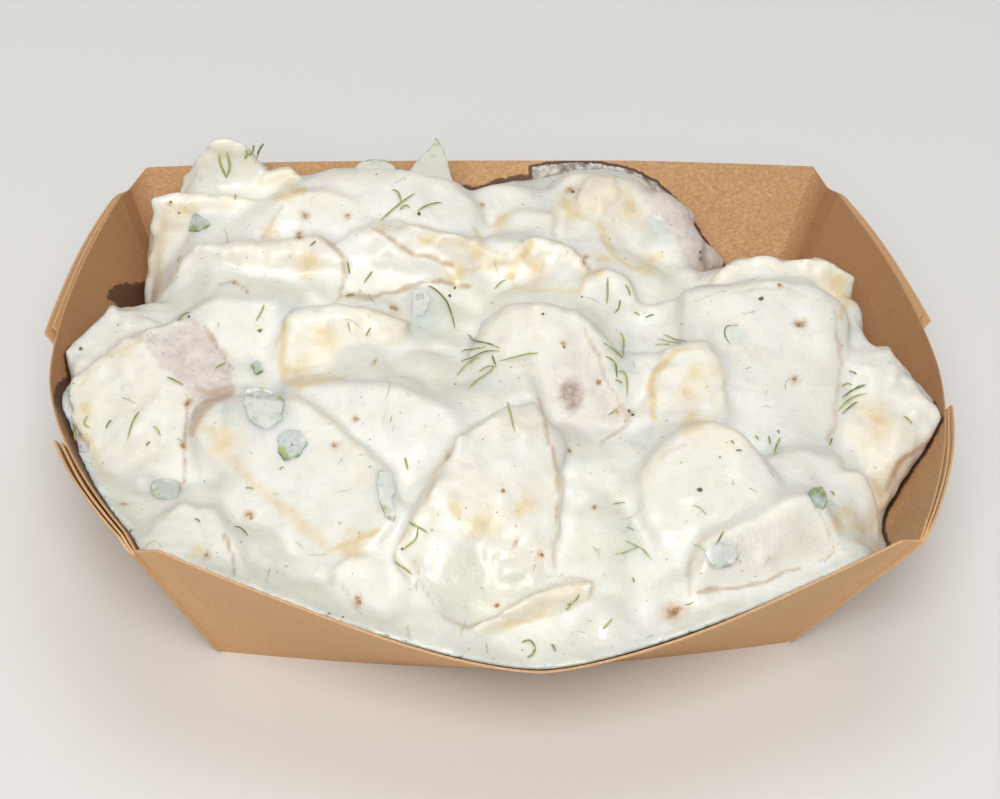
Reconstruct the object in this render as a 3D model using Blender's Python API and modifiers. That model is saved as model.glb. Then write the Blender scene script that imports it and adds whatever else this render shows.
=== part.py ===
"""Potato salad heaped in a folded kraft board tray.

The tray is one folded sheet: a flat base, four flared walls that bow under the load, and at
each corner a web that is folded back against the outside of the end wall. The salad is one
heap: a mound of dressing with the potato pieces, onion slices and dill that show fused on.
Everything is in metres, +Z up, with the origin under the middle of the object.
"""

import math
import random

import bmesh
import bpy
from mathutils import Euler, Matrix, Vector
from mathutils.bvhtree import BVHTree

MM = 0.001

# The tray, outside sizes
BASE_HALF_LENGTH = 0.0595
BASE_HALF_WIDTH = 0.0378
RIM_HALF_LENGTH = 0.0780
RIM_HALF_WIDTH = 0.0588
CORNER_HEIGHT = 0.0480
BOARD = 0.0006
# How far each wall stands above the notched corner creases, and over what distance it rises
RISES = {
    "front": (0.0024, 0.0045),
    "right": (0.0018, 0.0045),
    "back": (0.0052, 0.0038),
    "left": (0.0018, 0.0045),
}
BASE_BOW_SHARE = 0.25  # how much of a wall's bow its base crease follows

# How far each wall's rim bows outwards, and how pointed the bow is
BOWS = {
    "front": (0.0250, 1.55),
    "right": (0.0152, 1.75),
    "back": (0.0048, 2.3),
    "left": (0.0170, 1.7),
}
SIDE_STEPS = 24
END_STEPS = 24
WALL_LEVELS = 4

# The corner webs, folded against the outside of the end walls
WEB_BOARD = 0.0011  # two layers
WEB_TIP_GAP = 0.0011
WEB_SINK = 0.0004  # how far the folded web overlaps the wall at the corner
WEB_LOW_LEVELS = (0.02, 0.96)  # its lower edge climbs the wall from the crease nearly to the rim
# How many stations of its end wall each web covers at the rim
WEB_STATIONS = {
    ("left", "back"): 9,
    ("left", "front"): 8,
    ("right", "back"): 9,
    ("right", "front"): 9,
}

# The salad
GAP = 0.0004  # between the board and what lies in it
CAVITY_LEVELS = (0.0, 0.5, 1.0, 1.75)  # the space that holds the heap goes on above the rim
MOUND_LEVEL = 0.0368
MOUND_CROWN = 0.0160
MOUND_HALF_LENGTH = 0.100
MOUND_HALF_WIDTH = 0.090
MOUND_STEPS = (46, 34)
MOUND_OVERHANG = 0.035  # how far the uncut mound reaches past the tray's rim
MOUND_FLOOR = -0.004
RIPPLE = 0.0012
RIPPLE_WAVES = (190, 230)  # radians per metre along X and Y
# Hollows where the mound falls away from the walls, or swells (depth below 0): middle, radius, depth
HOLLOWS = (
    ((0.074, 0.046), 0.030, 0.024),
    ((-0.080, 0.036), 0.020, 0.020),
    ((0.090, -0.038), 0.017, 0.020),
    ((0.088, 0.010), 0.014, 0.010),
    ((-0.034, 0.034), 0.026, -0.007),
    ((0.024, 0.034), 0.026, -0.005),
    ((0.030, 0.060), 0.015, -0.008),
    ((-0.056, 0.040), 0.014, -0.006),
)
# Along the front and the left wall the dressing comes up to this much below the rim
BELOW_RIM = 0.0010
FRONT_REACH = 0.030  # and sinks back to the mound over this distance from the wall
LEFT_REACH = 0.016
FRONT_ENDS = (0.074, 0.060)  # X at which this starts and is complete, from the right end on
LEFT_ENDS = (0.010, -0.010)  # the same along Y, from the back on

# Potato pieces: form, middle, size, turn about X, Y and Z. Millimetres and degrees.
POTATOES = {
    "back_left_dome": ("round", (-57, 47, 53), (16, 15, 28), (0, 8, 10)),
    "back_left_small": ("block", (-44, 42, 56), (8, 11, 11), (-76, -11, 0)),
    "left_back_block": ("block", (-60, 43, 44), (28, 15, 27), (-24, 2, -8)),
    "left_back_slab": ("block", (-51, 28, 50), (34, 13, 17), (-27, 6, 2)),
    "upper_round": ("round", (-40, 39, 54), (21, 10, 21), (46, -11, 0)),
    "upper_long": ("block", (-22, 39, 55), (36, 12, 15), (26, 4, -3)),
    "upper_wedge": ("block", (-21, 26, 55), (26, 13, 10), (50, -16, 2)),
    "upper_wedge_right": ("block", (-13, 25, 55), (28, 8, 10), (53, 10, -12)),
    "centre_yellow": ("block", (13, 23, 54), (17, 9, 11), (54, 7, -20)),
    "back_half": ("round", (29, 37, 45), (42, 22, 28), (10, 20, -21)),
    "left_bar": ("block", (-34, 1, 50), (25, 14, 13), (41, -6, 5)),
    "centre_skin": ("round", (8, -12, 49), (34, 27, 24), (23, 14, -30)),
    "far_left": ("block", (-82, 8, 41), (19, 11, 15), (-1, -16, 28)),
    "left_cube": ("block", (-71, -13, 42), (33, 32, 14), (16, 11, -54)),
    "left_middle": ("block", (-57, 7, 49), (18, 10, 11), (29, 6, -16)),
    "left_long": ("block", (-44, -34, 46), (45, 19, 11), (25, 8, -52)),
    "centre_left": ("round", (-30, -25, 49), (34, 16, 19), (27, 4, -32)),
    "front_big": ("block", (-8, -47, 46), (27, 45, 14), (27, 18, -16)),
    "front_wedge": ("block", (-2, -67, 40), (5, 24, 8), (41, 65, -34)),
    "right_slab": ("block", (52, -9, 47), (32, 38, 13), (20, 6, 0)),
    "right_slab_left": ("block", (35, -18, 49), (14, 23, 11), (23, -1, -8)),
    "right_back": ("block", (61, 24, 50), (28, 12, 14), (-18, 8, -2)),
    "right_tip": ("block", (76, -16, 40), (20, 30, 14), (16, 15, -35)),
    "right_round": ("round", (35, -41, 48), (24, 20, 19), (29, -14, 18)),
    "right_inner": ("round", (56, -39, 44), (15, 11, 17), (21, 10, -6)),
    "right_low": ("block", (66, -41, 40), (8, 13, 12), (47, 0, 17)),
    "front_right": ("block", (45, -56, 44), (28, 14, 11), (41, -4, 11)),
    "front_left_bit": ("block", (-68, -52, 44), (7, 9, 10), (20, 7, -28)),
    "front_left_slice": ("block", (-62, -54, 43), (6, 14, 9), (22, -8, 8)),
    "front_bit": ("block", (-33, -63, 40), (6, 12, 9), (34, -15, 10)),
    "back_bit": ("round", (7, 35, 51), (10, 7, 15), (21, -7, 3)),
    "back_lump": ("round", (3, 44, 52), (10, 7, 16), (20, -4, 11)),
    "centre_lump": ("round", (23, 14, 53), (7, 7, 16), (39, -10, 9)),
}
JITTER = 0.09  # share of the size that a block's corners wander
EDGE_ROUND = 0.0021
# A round piece, before it is stretched to its size, and the three flat cuts through it
ROUND_RADIUS = 0.58
ROUND_CUT_DISTANCE = 0.434
ROUND_CUTS = ((-0.25, -0.1, -1), (1, 0.2, -0.1), (-0.3, 1, 0.1))

# Onion slices that stand up from the heap: middle, width, height, thickness, turn
ONIONS = {
    "standing": ((-12, 42, 62), (10.0, 15.0, 1.3), (-12, 4, -10)),
    "leaning": ((-26, 43, 58), (10.5, 9.0, 1.3), (-25, 0, 12)),
}
ONION_STEPS = 6
ONION_TIP = 0.0004  # half the width that is left at the top
ONION_CURL = 0.0016

# Dill sprigs: where the stalk lies on the heap, its direction, and how many leaves it has
DILL = (
    ((-3, -20), 200, 7),
    ((24, -14), 250, 5),
    ((73, -18), 190, 5),
    ((-22, 38), 230, 4),
    ((-57, 44), 80, 3),
    ((-11, -2), 290, 2),
    ((3, -36), 280, 2),
    ((52, -37), 250, 3),
)
DILL_LEAF_LENGTH = 0.0085
DILL_LEAF_LENGTHS = (0.75, 1.2)  # shares of that length
DILL_LEAF_THICKNESS = 0.0010
DILL_LEAF_STEPS = 4
DILL_SPREAD = 0.38  # radians between neighbouring leaves
DILL_BEND = 0.25  # radians that a leaf turns over its length


def clear_scene():
    for item in list(bpy.data.objects):
        bpy.data.objects.remove(item, do_unlink=True)


def new_collection(name):
    collection = bpy.data.collections.new(name)
    bpy.context.scene.collection.children.link(collection)
    return collection


def add_object(name, mesh, collection):
    made = bpy.data.objects.new(name, mesh)
    collection.objects.link(made)
    return made


def mesh_from(name, points, faces):
    mesh = bpy.data.meshes.new(name)
    mesh.from_pydata(points, [], faces)
    mesh.validate()
    bm = bmesh.new()
    bm.from_mesh(mesh)
    bmesh.ops.recalc_face_normals(bm, faces=bm.faces)
    bm.to_mesh(mesh)
    bm.free()
    return mesh


def make_material(name, colour, roughness):
    material = bpy.data.materials.new(name)
    material.use_nodes = True
    shader = material.node_tree.nodes["Principled BSDF"]
    shader.inputs["Base Color"].default_value = (*colour, 1)
    shader.inputs["Roughness"].default_value = roughness
    shader.inputs["Metallic"].default_value = 0
    return material


def apply_modifier(item, modifier):
    with bpy.context.temp_override(object=item, active_object=item):
        bpy.ops.object.modifier_apply(modifier=modifier.name)


# Tray walls. A station is a wall's name and t, which runs from -1 to 1 along that wall.
# Level 0 is the base crease, 1 the rim, and more than 1 the wall's plane carried on upwards.


def bow_at(wall, t):
    reach, sharpness = BOWS[wall]
    return reach * (1 - abs(t) ** sharpness)


def rim_height(run, flare, rise):
    """Height of a board of constant length once it leans out by run."""
    length = math.hypot(flare, CORNER_HEIGHT) + rise
    return math.sqrt(max(length**2 - run**2, 0))


def wall_point(station, level, inset=0.0):
    """A point on the outside of the tray, or that far inside it."""
    wall, t = station
    bow = bow_at(wall, t)
    long_wall = wall in ("front", "back")
    if long_wall:
        out_base, out_rim = BASE_HALF_WIDTH, RIM_HALF_WIDTH
        half_base, half_rim = BASE_HALF_LENGTH, RIM_HALF_LENGTH
    else:
        out_base, out_rim = BASE_HALF_LENGTH, RIM_HALF_LENGTH
        half_base, half_rim = BASE_HALF_WIDTH, RIM_HALF_WIDTH
    along_base, along_rim = half_base * t, half_rim * t
    full_rise, rise_width = RISES[wall]
    rise = full_rise * min(1.0, (1 - abs(t)) * half_rim / rise_width)
    flare = out_rim - out_base
    reach_base = out_base + BASE_BOW_SHARE * bow
    reach_rim = out_rim + bow
    run = reach_rim - reach_base
    height = rim_height(run, flare, rise)
    shift = inset * math.hypot(run, height) / height
    along = along_base + (along_rim - along_base) * level
    reach = reach_base + run * level
    z = height * level
    # Moving a corner in along one wall alone would leave it outside the other wall.
    along -= inset * math.hypot(1, (half_rim - half_base) / CORNER_HEIGHT) * t
    reach -= shift
    if long_wall:
        return Vector((along, -reach if wall == "front" else reach, z))
    return Vector((reach if wall == "right" else -reach, along, z))


def stations():
    """Every station once round the tray, anticlockwise from the front left corner."""
    found = []
    for wall, steps, way in (
        ("front", SIDE_STEPS, 1),
        ("right", END_STEPS, 1),
        ("back", SIDE_STEPS, -1),
        ("left", END_STEPS, -1),
    ):
        half_rim = RIM_HALF_LENGTH if wall in ("front", "back") else RIM_HALF_WIDTH
        near_corner = 1 - RISES[wall][1] / half_rim
        shares = [-1] + [near_corner * (-1 + 2 * i / steps) for i in range(steps + 1)]
        found += [(wall, way * share) for share in shares]
    return found


def tray_centre():
    """Where the middle of the bowed tray lies, so that the object can stand on the origin."""
    front = wall_point(("front", 0), 1).y
    back = wall_point(("back", 0), 1).y
    return Vector((0, (front + back) / 2, 0))


def tray_shell():
    """The base and walls as one open surface, thickened inwards."""
    ring = stations()
    points = []
    for level in range(WALL_LEVELS + 1):
        points += [wall_point(station, level / WALL_LEVELS) for station in ring]
    middle = len(points)
    points.append(Vector((0, 0, 0)))
    count = len(ring)
    faces = []
    for i in range(count):
        j = (i + 1) % count
        faces.append((middle, j, i))
        for level in range(WALL_LEVELS):
            low, high = level * count, (level + 1) * count
            faces.append((low + i, low + j, high + j, high + i))
    mesh = mesh_from("tray", points, faces)
    bm = bmesh.new()
    bm.from_mesh(mesh)
    if sum(face.normal.z * face.calc_area() for face in bm.faces) > 0:
        bmesh.ops.reverse_faces(bm, faces=bm.faces)
    bm.to_mesh(mesh)
    bm.free()
    return mesh


def web_mesh(end, corner):
    """One side of a folded web: a triangle from the corner crease to a tip on the rim."""
    side = -1 if corner == "front" else 1
    outward = 1 if end == "right" else -1
    near_corner = 1 - RISES[end][1] / RIM_HALF_WIDTH
    shares = [1.0]
    for i in range(WEB_STATIONS[(end, corner)] + 1):
        shares.append(near_corner * (1 - 2 * i / END_STEPS))
    first, last = WEB_LOW_LEVELS
    points = []
    for share in shares:
        along = (1 - share) / (1 - shares[-1])
        stand_off = WEB_TIP_GAP * along - WEB_SINK * (1 - along)
        for level in (first + (last - first) * along, 1):
            point = wall_point((end, side * share), level)
            points.append(point + Vector((outward * stand_off, 0, 0)))
    faces = [(2 * i, 2 * i + 1, 2 * i + 3, 2 * i + 2) for i in range(len(shares) - 1)]
    bm = bmesh.new()
    verts = [bm.verts.new(point) for point in points]
    for face in faces:
        bm.faces.new([verts[index] for index in face])
    bm.normal_update()
    if sum(face.normal.x for face in bm.faces) * outward < 0:
        bmesh.ops.reverse_faces(bm, faces=bm.faces)
    mesh = bpy.data.meshes.new("web")
    bm.to_mesh(mesh)
    bm.free()
    return mesh


def thicken(item, thickness, offset):
    solidify = item.modifiers.new("board", "SOLIDIFY")
    solidify.thickness = thickness
    solidify.offset = offset
    solidify.use_even_offset = True
    apply_modifier(item, solidify)


def make_tray(collection, centre):
    tray = add_object("tray", tray_shell(), collection)
    thicken(tray, BOARD, -1)
    webs = new_collection("webs")
    for end, corner in WEB_STATIONS:
        web = add_object("web", web_mesh(end, corner), webs)
        thicken(web, WEB_BOARD, 1)
    join_all(tray, webs)
    tray.location = -centre
    tray.data.materials.clear()
    tray.data.materials.append(make_material("kraft_board", (0.50, 0.32, 0.17), 0.75))
    return tray


def join_all(item, collection):
    """One Boolean union with everything in the collection, which is then removed."""
    boolean = item.modifiers.new("joined", "BOOLEAN")
    boolean.operation = "UNION"
    boolean.operand_type = "COLLECTION"
    boolean.collection = collection
    apply_modifier(item, boolean)
    for member in list(collection.objects):
        bpy.data.objects.remove(member, do_unlink=True)
    bpy.data.collections.remove(collection)
    keep_largest_shell(item.data)


def keep_inside(item, limit):
    """Cuts away what lies outside the limit, which is then removed."""
    boolean = item.modifiers.new("kept", "BOOLEAN")
    boolean.operation = "INTERSECT"
    boolean.object = limit
    boolean.solver = "MANIFOLD"
    apply_modifier(item, boolean)
    bpy.data.objects.remove(limit, do_unlink=True)
    keep_largest_shell(item.data)


def keep_largest_shell(mesh):
    """Drops loose scraps and fills sealed hollows: only the largest connected surface stays."""
    bm = bmesh.new()
    bm.from_mesh(mesh)
    left = set(bm.verts)
    shells = []
    while left:
        queue = [left.pop()]
        shell = []
        while queue:
            vert = queue.pop()
            shell.append(vert)
            for edge in vert.link_edges:
                other = edge.other_vert(vert)
                if other in left:
                    left.remove(other)
                    queue.append(other)
        shells.append(shell)
    shells.sort(key=len)
    for shell in shells[:-1]:
        bmesh.ops.delete(bm, geom=shell, context="VERTS")
    bm.to_mesh(mesh)
    bm.free()


# The heap


def cavity_mesh():
    """The space inside the tray, with a small gap to the board and carried on above the rim."""
    inset = BOARD + GAP
    ring = stations()
    points = []
    for level in CAVITY_LEVELS:
        for station in ring:
            point = wall_point(station, level, inset)
            point.z = max(point.z, inset)
            points.append(point)
    count = len(ring)
    bottom, top = len(points), len(points) + 1
    points.append(Vector((0, 0, inset)))
    points.append(Vector((0, 0, max(point.z for point in points))))
    faces = []
    high = (len(CAVITY_LEVELS) - 1) * count
    for i in range(count):
        j = (i + 1) % count
        faces.append((bottom, j, i))
        faces.append((top, high + i, high + j))
        for level in range(len(CAVITY_LEVELS) - 1):
            a, b = level * count, (level + 1) * count
            faces.append((a + i, a + j, b + j, b + i))
    return mesh_from("cavity", points, faces)


def mound_height(x, y):
    """The top of the dressing, in the tray's own coordinates."""
    crown = (1 - (x / MOUND_HALF_LENGTH) ** 2) * (1 - (y / MOUND_HALF_WIDTH) ** 2)
    z = MOUND_LEVEL + MOUND_CROWN * max(crown, 0)
    for (cx, cy), radius, depth in HOLLOWS:
        z -= depth * math.exp(-((x - cx) ** 2 + (y - cy) ** 2) / radius**2)
    z += RIPPLE * math.sin(x * RIPPLE_WAVES[0] + 1) * math.sin(y * RIPPLE_WAVES[1])
    front = wall_point(("front", max(min(x / RIM_HALF_LENGTH, 1), -1)), 1)
    left = wall_point(("left", max(min(y / RIM_HALF_WIDTH, 1), -1)), 1)
    near_front = fade(1 - (y - front.y) / FRONT_REACH) * between(x, FRONT_ENDS)
    near_left = fade(1 - (x - left.x) / LEFT_REACH) * between(y, LEFT_ENDS)
    z += near_front * (front.z - BELOW_RIM - z)
    z += near_left * (left.z - BELOW_RIM - z)
    return z


def fade(share):
    """Runs smoothly from 0 to 1 as the share does."""
    share = max(min(share, 1), 0)
    return share * share * (3 - 2 * share)


def between(value, ends):
    """0 at the first end, 1 at the second."""
    start, complete = ends
    return fade((value - start) / (complete - start))


def mound_mesh():
    """A block whose top is the mound, wider than the tray so that the cavity cuts its sides."""
    nx, ny = MOUND_STEPS
    half_x, half_y = RIM_HALF_LENGTH + MOUND_OVERHANG, RIM_HALF_WIDTH + MOUND_OVERHANG
    bm = bmesh.new()
    bmesh.ops.create_grid(bm, x_segments=nx, y_segments=ny, size=1)
    for vert in bm.verts:
        x, y = vert.co.x * half_x, vert.co.y * half_y
        vert.co = Vector((x, y, mound_height(x, y)))
    rim = [edge for edge in bm.edges if edge.is_boundary]
    grown = bmesh.ops.extrude_edge_only(bm, edges=rim)["geom"]
    for item in grown:
        if isinstance(item, bmesh.types.BMVert):
            item.co.z = MOUND_FLOOR
    bmesh.ops.contextual_create(bm, geom=[item for item in grown if isinstance(item, bmesh.types.BMEdge)])
    bmesh.ops.recalc_face_normals(bm, faces=bm.faces)
    mesh = bpy.data.meshes.new("mound")
    bm.to_mesh(mesh)
    bm.free()
    return mesh


def potato_mesh(name, form, size, draw):
    """A cut piece of boiled potato about the origin: a block, or a rounded outside piece."""
    bm = bmesh.new()
    if form == "round":
        bmesh.ops.create_icosphere(bm, subdivisions=2, radius=ROUND_RADIUS)
        for direction in ROUND_CUTS:
            normal = Vector(direction).normalized()
            cut = bmesh.ops.bisect_plane(
                bm,
                geom=bm.verts[:] + bm.edges[:] + bm.faces[:],
                plane_co=normal * ROUND_CUT_DISTANCE,
                plane_no=normal,
                clear_outer=True,
            )
            edges = [item for item in cut["geom_cut"] if isinstance(item, bmesh.types.BMEdge)]
            bmesh.ops.holes_fill(bm, edges=edges)
    else:
        bmesh.ops.create_cube(bm, size=1)
        for vert in bm.verts:
            vert.co += Vector([draw.uniform(-JITTER, JITTER) for _ in range(3)])
    for vert in bm.verts:
        vert.co = Vector([vert.co[k] * size[k] * MM for k in range(3)])
    if form != "round":
        bmesh.ops.bevel(
            bm,
            geom=bm.edges[:],
            offset=EDGE_ROUND,
            segments=2,
            profile=0.6,
            affect="EDGES",
            clamp_overlap=True,
        )
    bmesh.ops.triangulate(bm, faces=bm.faces[:])
    bmesh.ops.recalc_face_normals(bm, faces=bm.faces)
    mesh = bpy.data.meshes.new(name)
    bm.to_mesh(mesh)
    bm.free()
    return mesh


def placing(middle, turn):
    angles = Euler([math.radians(angle) for angle in turn])
    return Matrix.Translation(Vector(middle) * MM) @ angles.to_matrix().to_4x4()


def add_potatoes(collection):
    draw = random.Random(11)
    for name, (form, middle, size, turn) in POTATOES.items():
        mesh = potato_mesh(name, form, size, draw)
        mesh.transform(placing(middle, turn))
        add_object(name, mesh, collection)


def add_onions(collection):
    """Onion slices as thin curled plates that stand in the dressing, pointed at the top."""
    for name, (middle, size, turn) in ONIONS.items():
        width, height, thickness = (value * MM for value in size)
        bm = bmesh.new()
        bmesh.ops.create_grid(bm, x_segments=1, y_segments=ONION_STEPS, size=0.5)
        for vert in bm.verts:
            share = vert.co.y + 0.5
            half = width / 2 * (1 - share**1.6) + ONION_TIP
            across = half if vert.co.x > 0 else -half
            vert.co = Vector((across, ONION_CURL * math.cos(share * math.pi / 2), height * (share - 0.5)))
        mesh = bpy.data.meshes.new(name)
        bm.to_mesh(mesh)
        bm.free()
        onion = add_object(name, mesh, collection)
        thicken(onion, thickness, 0)
        onion.data.transform(placing(middle, turn))


def surface_of(item):
    bm = bmesh.new()
    bm.from_mesh(item.data)
    tree = BVHTree.FromBMesh(bm)
    bm.free()
    return tree


def leaf_mesh(path):
    """A thin four-sided bar that follows the path."""
    curve = bpy.data.curves.new("leaf", "CURVE")
    curve.dimensions = "3D"
    curve.bevel_depth = DILL_LEAF_THICKNESS / 2
    curve.bevel_resolution = 0
    curve.use_fill_caps = True
    spline = curve.splines.new("POLY")
    spline.points.add(len(path) - 1)
    for point, place in zip(spline.points, path):
        point.co = (*place, 1)
    leaf = add_object("leaf", curve, bpy.context.scene.collection)
    mesh = bpy.data.meshes.new_from_object(leaf.evaluated_get(bpy.context.evaluated_depsgraph_get()))
    bpy.data.objects.remove(leaf, do_unlink=True)
    return mesh


def add_dill(collection, surface):
    """Sprigs of dill: thin leaves that fan out from a point and lie on the heap."""
    draw = random.Random(5)
    down = Vector((0, 0, -1))
    for (x, y), direction, leaves in DILL:
        root = Vector((x, y, 0)) * MM
        for k in range(leaves):
            angle = math.radians(direction) + (k - (leaves - 1) / 2) * DILL_SPREAD
            length = DILL_LEAF_LENGTH * draw.uniform(*DILL_LEAF_LENGTHS)
            path = []
            for i in range(DILL_LEAF_STEPS + 1):
                share = i / DILL_LEAF_STEPS
                turn = angle + DILL_BEND * share
                over = root + Vector((math.cos(turn), math.sin(turn), 0)) * length * share
                over.z = CORNER_HEIGHT * 2
                path.append(surface.ray_cast(over, down)[0])
            add_object("leaf", leaf_mesh(path), collection)


def make_salad(collection, centre):
    salad = add_object("potato_salad", mound_mesh(), collection)
    pieces = new_collection("pieces")
    add_potatoes(pieces)
    add_onions(pieces)
    join_all(salad, pieces)
    dill = new_collection("dill")
    add_dill(dill, surface_of(salad))
    join_all(salad, dill)
    keep_inside(salad, add_object("cavity", cavity_mesh(), collection))
    salad.location = -centre
    salad.data.shade_smooth()
    salad.data.set_sharp_from_angle(angle=math.radians(35))
    salad.data.materials.clear()
    salad.data.materials.append(make_material("dressed_potato", (0.86, 0.84, 0.74), 0.35))
    return salad


def main():
    clear_scene()
    serving = new_collection("potato_salad_in_tray")
    centre = tray_centre()
    make_tray(serving, centre)
    make_salad(serving, centre)


main()
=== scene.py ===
import math

import bmesh
import bpy
import numpy as np
from mathutils import Matrix, Vector
from mathutils.bvhtree import BVHTree


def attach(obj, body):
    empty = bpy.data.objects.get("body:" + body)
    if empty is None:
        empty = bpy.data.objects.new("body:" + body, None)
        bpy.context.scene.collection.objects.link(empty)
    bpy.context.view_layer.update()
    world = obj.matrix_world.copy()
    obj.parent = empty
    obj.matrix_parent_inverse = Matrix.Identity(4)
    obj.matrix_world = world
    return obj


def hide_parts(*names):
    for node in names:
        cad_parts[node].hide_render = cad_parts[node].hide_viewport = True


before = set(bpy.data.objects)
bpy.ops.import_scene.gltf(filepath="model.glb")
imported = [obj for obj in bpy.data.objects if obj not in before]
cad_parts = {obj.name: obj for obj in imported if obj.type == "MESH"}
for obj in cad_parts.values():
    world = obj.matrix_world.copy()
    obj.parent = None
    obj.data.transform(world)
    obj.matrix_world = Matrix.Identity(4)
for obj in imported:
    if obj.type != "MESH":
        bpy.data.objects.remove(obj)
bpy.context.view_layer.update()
body = "root"
mm = 0.001
rng = np.random.default_rng(7)

# Helpers for meshes.


def meshPiece(name, points, faces, smooth=True):
    mesh = bpy.data.meshes.new(name)
    moved = (np.asarray(points, float) + [0, trayShift, 0]) * mm
    mesh.from_pydata(moved.tolist(), [], [tuple(int(i) for i in face) for face in faces])
    mesh.validate()
    mesh.update()
    if smooth:
        mesh.shade_smooth()
    piece = bpy.data.objects.new(name, mesh)
    bpy.context.scene.collection.objects.link(piece)
    return piece


def paint(piece, name, values):
    # one number on each point, which a material reads by its name
    layer = piece.data.attributes.new(name, "FLOAT", "POINT")
    layer.data.foreach_set("value", np.asarray(values, np.float32))


def applyModifiers(piece):
    graph = bpy.context.evaluated_depsgraph_get()
    piece.data = bpy.data.meshes.new_from_object(piece.evaluated_get(graph))
    piece.modifiers.clear()


def smoothstep(low, high, x):
    # 0 at low, 1 at high, smooth between; low may be the larger of the two
    t = np.clip((x - low) / (high - low), 0, 1)
    return t * t * (3 - 2 * t)


def softMin(a, b, k):
    # the smaller of two fields, blended where they differ by less than k
    h = np.clip(0.5 + 0.5 * (b - a) / k, 0, 1)
    return b + (a - b) * h - k * h * (1 - h)


def softMax(a, b, k):
    return -softMin(-a, -b, k)


latticeSize = 32
lattice = rng.random((latticeSize,) * 3)


def lumps(points, size, shift=0.0):
    # smooth noise from -1 to 1 with bumps about this many millimetres across
    p = np.asarray(points) / size + shift
    low = np.floor(p).astype(int)
    f = p - low
    f = f * f * (3 - 2 * f)
    total = 0
    for i in (0, 1):
        for j in (0, 1):
            for k in (0, 1):
                weight = np.abs(1 - i - f[..., 0]) * np.abs(1 - j - f[..., 1]) * np.abs(1 - k - f[..., 2])
                x, y, z = ((low[..., axis] + (i, j, k)[axis]) % latticeSize for axis in range(3))
                total = total + weight * lattice[x, y, z]
    return total * 2 - 1


# Helpers for materials.


class Wire:
    # one socket's output, so that shader maths reads as plain expressions
    def __init__(self, shader, socket):
        self.shader, self.socket = shader, socket

    def math(self, operation, a, b):
        return self.shader.node("ShaderNodeMath", {"operation": operation}, {0: a, 1: b})

    def __add__(self, other):
        return self.math("ADD", self, other)

    def __radd__(self, other):
        return self.math("ADD", other, self)

    def __sub__(self, other):
        return self.math("SUBTRACT", self, other)

    def __rsub__(self, other):
        return self.math("SUBTRACT", other, self)

    def __mul__(self, other):
        return self.math("MULTIPLY", self, other)

    def __rmul__(self, other):
        return self.math("MULTIPLY", other, self)

    def above(self, low, high):
        # 0 under low, 1 over high, smooth between
        return self.shader.node(
            "ShaderNodeMapRange",
            {"interpolation_type": "SMOOTHSTEP"},
            {"Value": self, "From Min": low, "From Max": high},
        )

    def atMost(self, other):
        return self.math("MINIMUM", self, other)

    def atLeast(self, other):
        return self.math("MAXIMUM", self, other)

    def between(self, low, high):
        # a share from 0 to 1, as a value from low to high
        return self.shader.node("ShaderNodeMapRange", {}, {"Value": self, "To Min": low, "To Max": high})


class Finish:
    # one material; the named values are the shader's own sockets, the same all over the surface
    def __init__(self, name, **fixed):
        self.material = bpy.data.materials.new(name)
        self.material.use_nodes = True
        self.tree = self.material.node_tree
        self.surface = self.tree.nodes["Principled BSDF"]
        for socket, value in fixed.items():
            self.surface.inputs[socket.replace("_", " ")].default_value = value
        self.place = self.node("ShaderNodeTexCoord", {}, {}, "Object")

    def node(self, kind, settings, sockets, output=0):
        made = self.tree.nodes.new(kind)
        for key, value in settings.items():
            setattr(made, key, value)
        for key, value in sockets.items():
            if isinstance(value, Wire):
                self.tree.links.new(value.socket, made.inputs[key])
            else:
                made.inputs[key].default_value = value
        return Wire(self, made.outputs[output])

    def noise(self, perMetre, detail=3.0, roughness=0.5, stretch=None):
        where = self.place
        if stretch:
            where = self.node("ShaderNodeVectorMath", {"operation": "MULTIPLY"}, {0: where, 1: stretch})
        sockets = {"Vector": where, "Scale": perMetre, "Detail": detail, "Roughness": roughness}
        return self.node("ShaderNodeTexNoise", {}, sockets)

    def attribute(self, name):
        return self.node("ShaderNodeAttribute", {"attribute_name": name}, {}, 2)

    def mix(self, share, a, b, blend="MIX"):
        # the colour sockets of a Mix node are numbers 6 and 7, and its colour output number 2
        a = a if isinstance(a, Wire) else (*a, 1)
        b = b if isinstance(b, Wire) else (*b, 1)
        settings = {"data_type": "RGBA", "blend_type": blend}
        return self.node("ShaderNodeMix", settings, {0: share, 6: a, 7: b}, 2)

    def bump(self, height, strength, distance):
        sockets = {"Height": height, "Strength": strength, "Distance": distance}
        return self.node("ShaderNodeBump", {}, sockets)

    def feed(self, **links):
        for socket, wire in links.items():
            self.tree.links.new(wire.socket, self.surface.inputs[socket.replace("_", " ")])
        return self.material


def rgb(red, green, blue):
    # a colour read off the screen, 0 to 255, as the renderer's linear value
    def linear(c):
        c /= 255
        return c / 12.92 if c <= 0.04045 else ((c + 0.055) / 1.055) ** 2.4
    return (linear(red), linear(green), linear(blue))


# The tray's walls.

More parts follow.
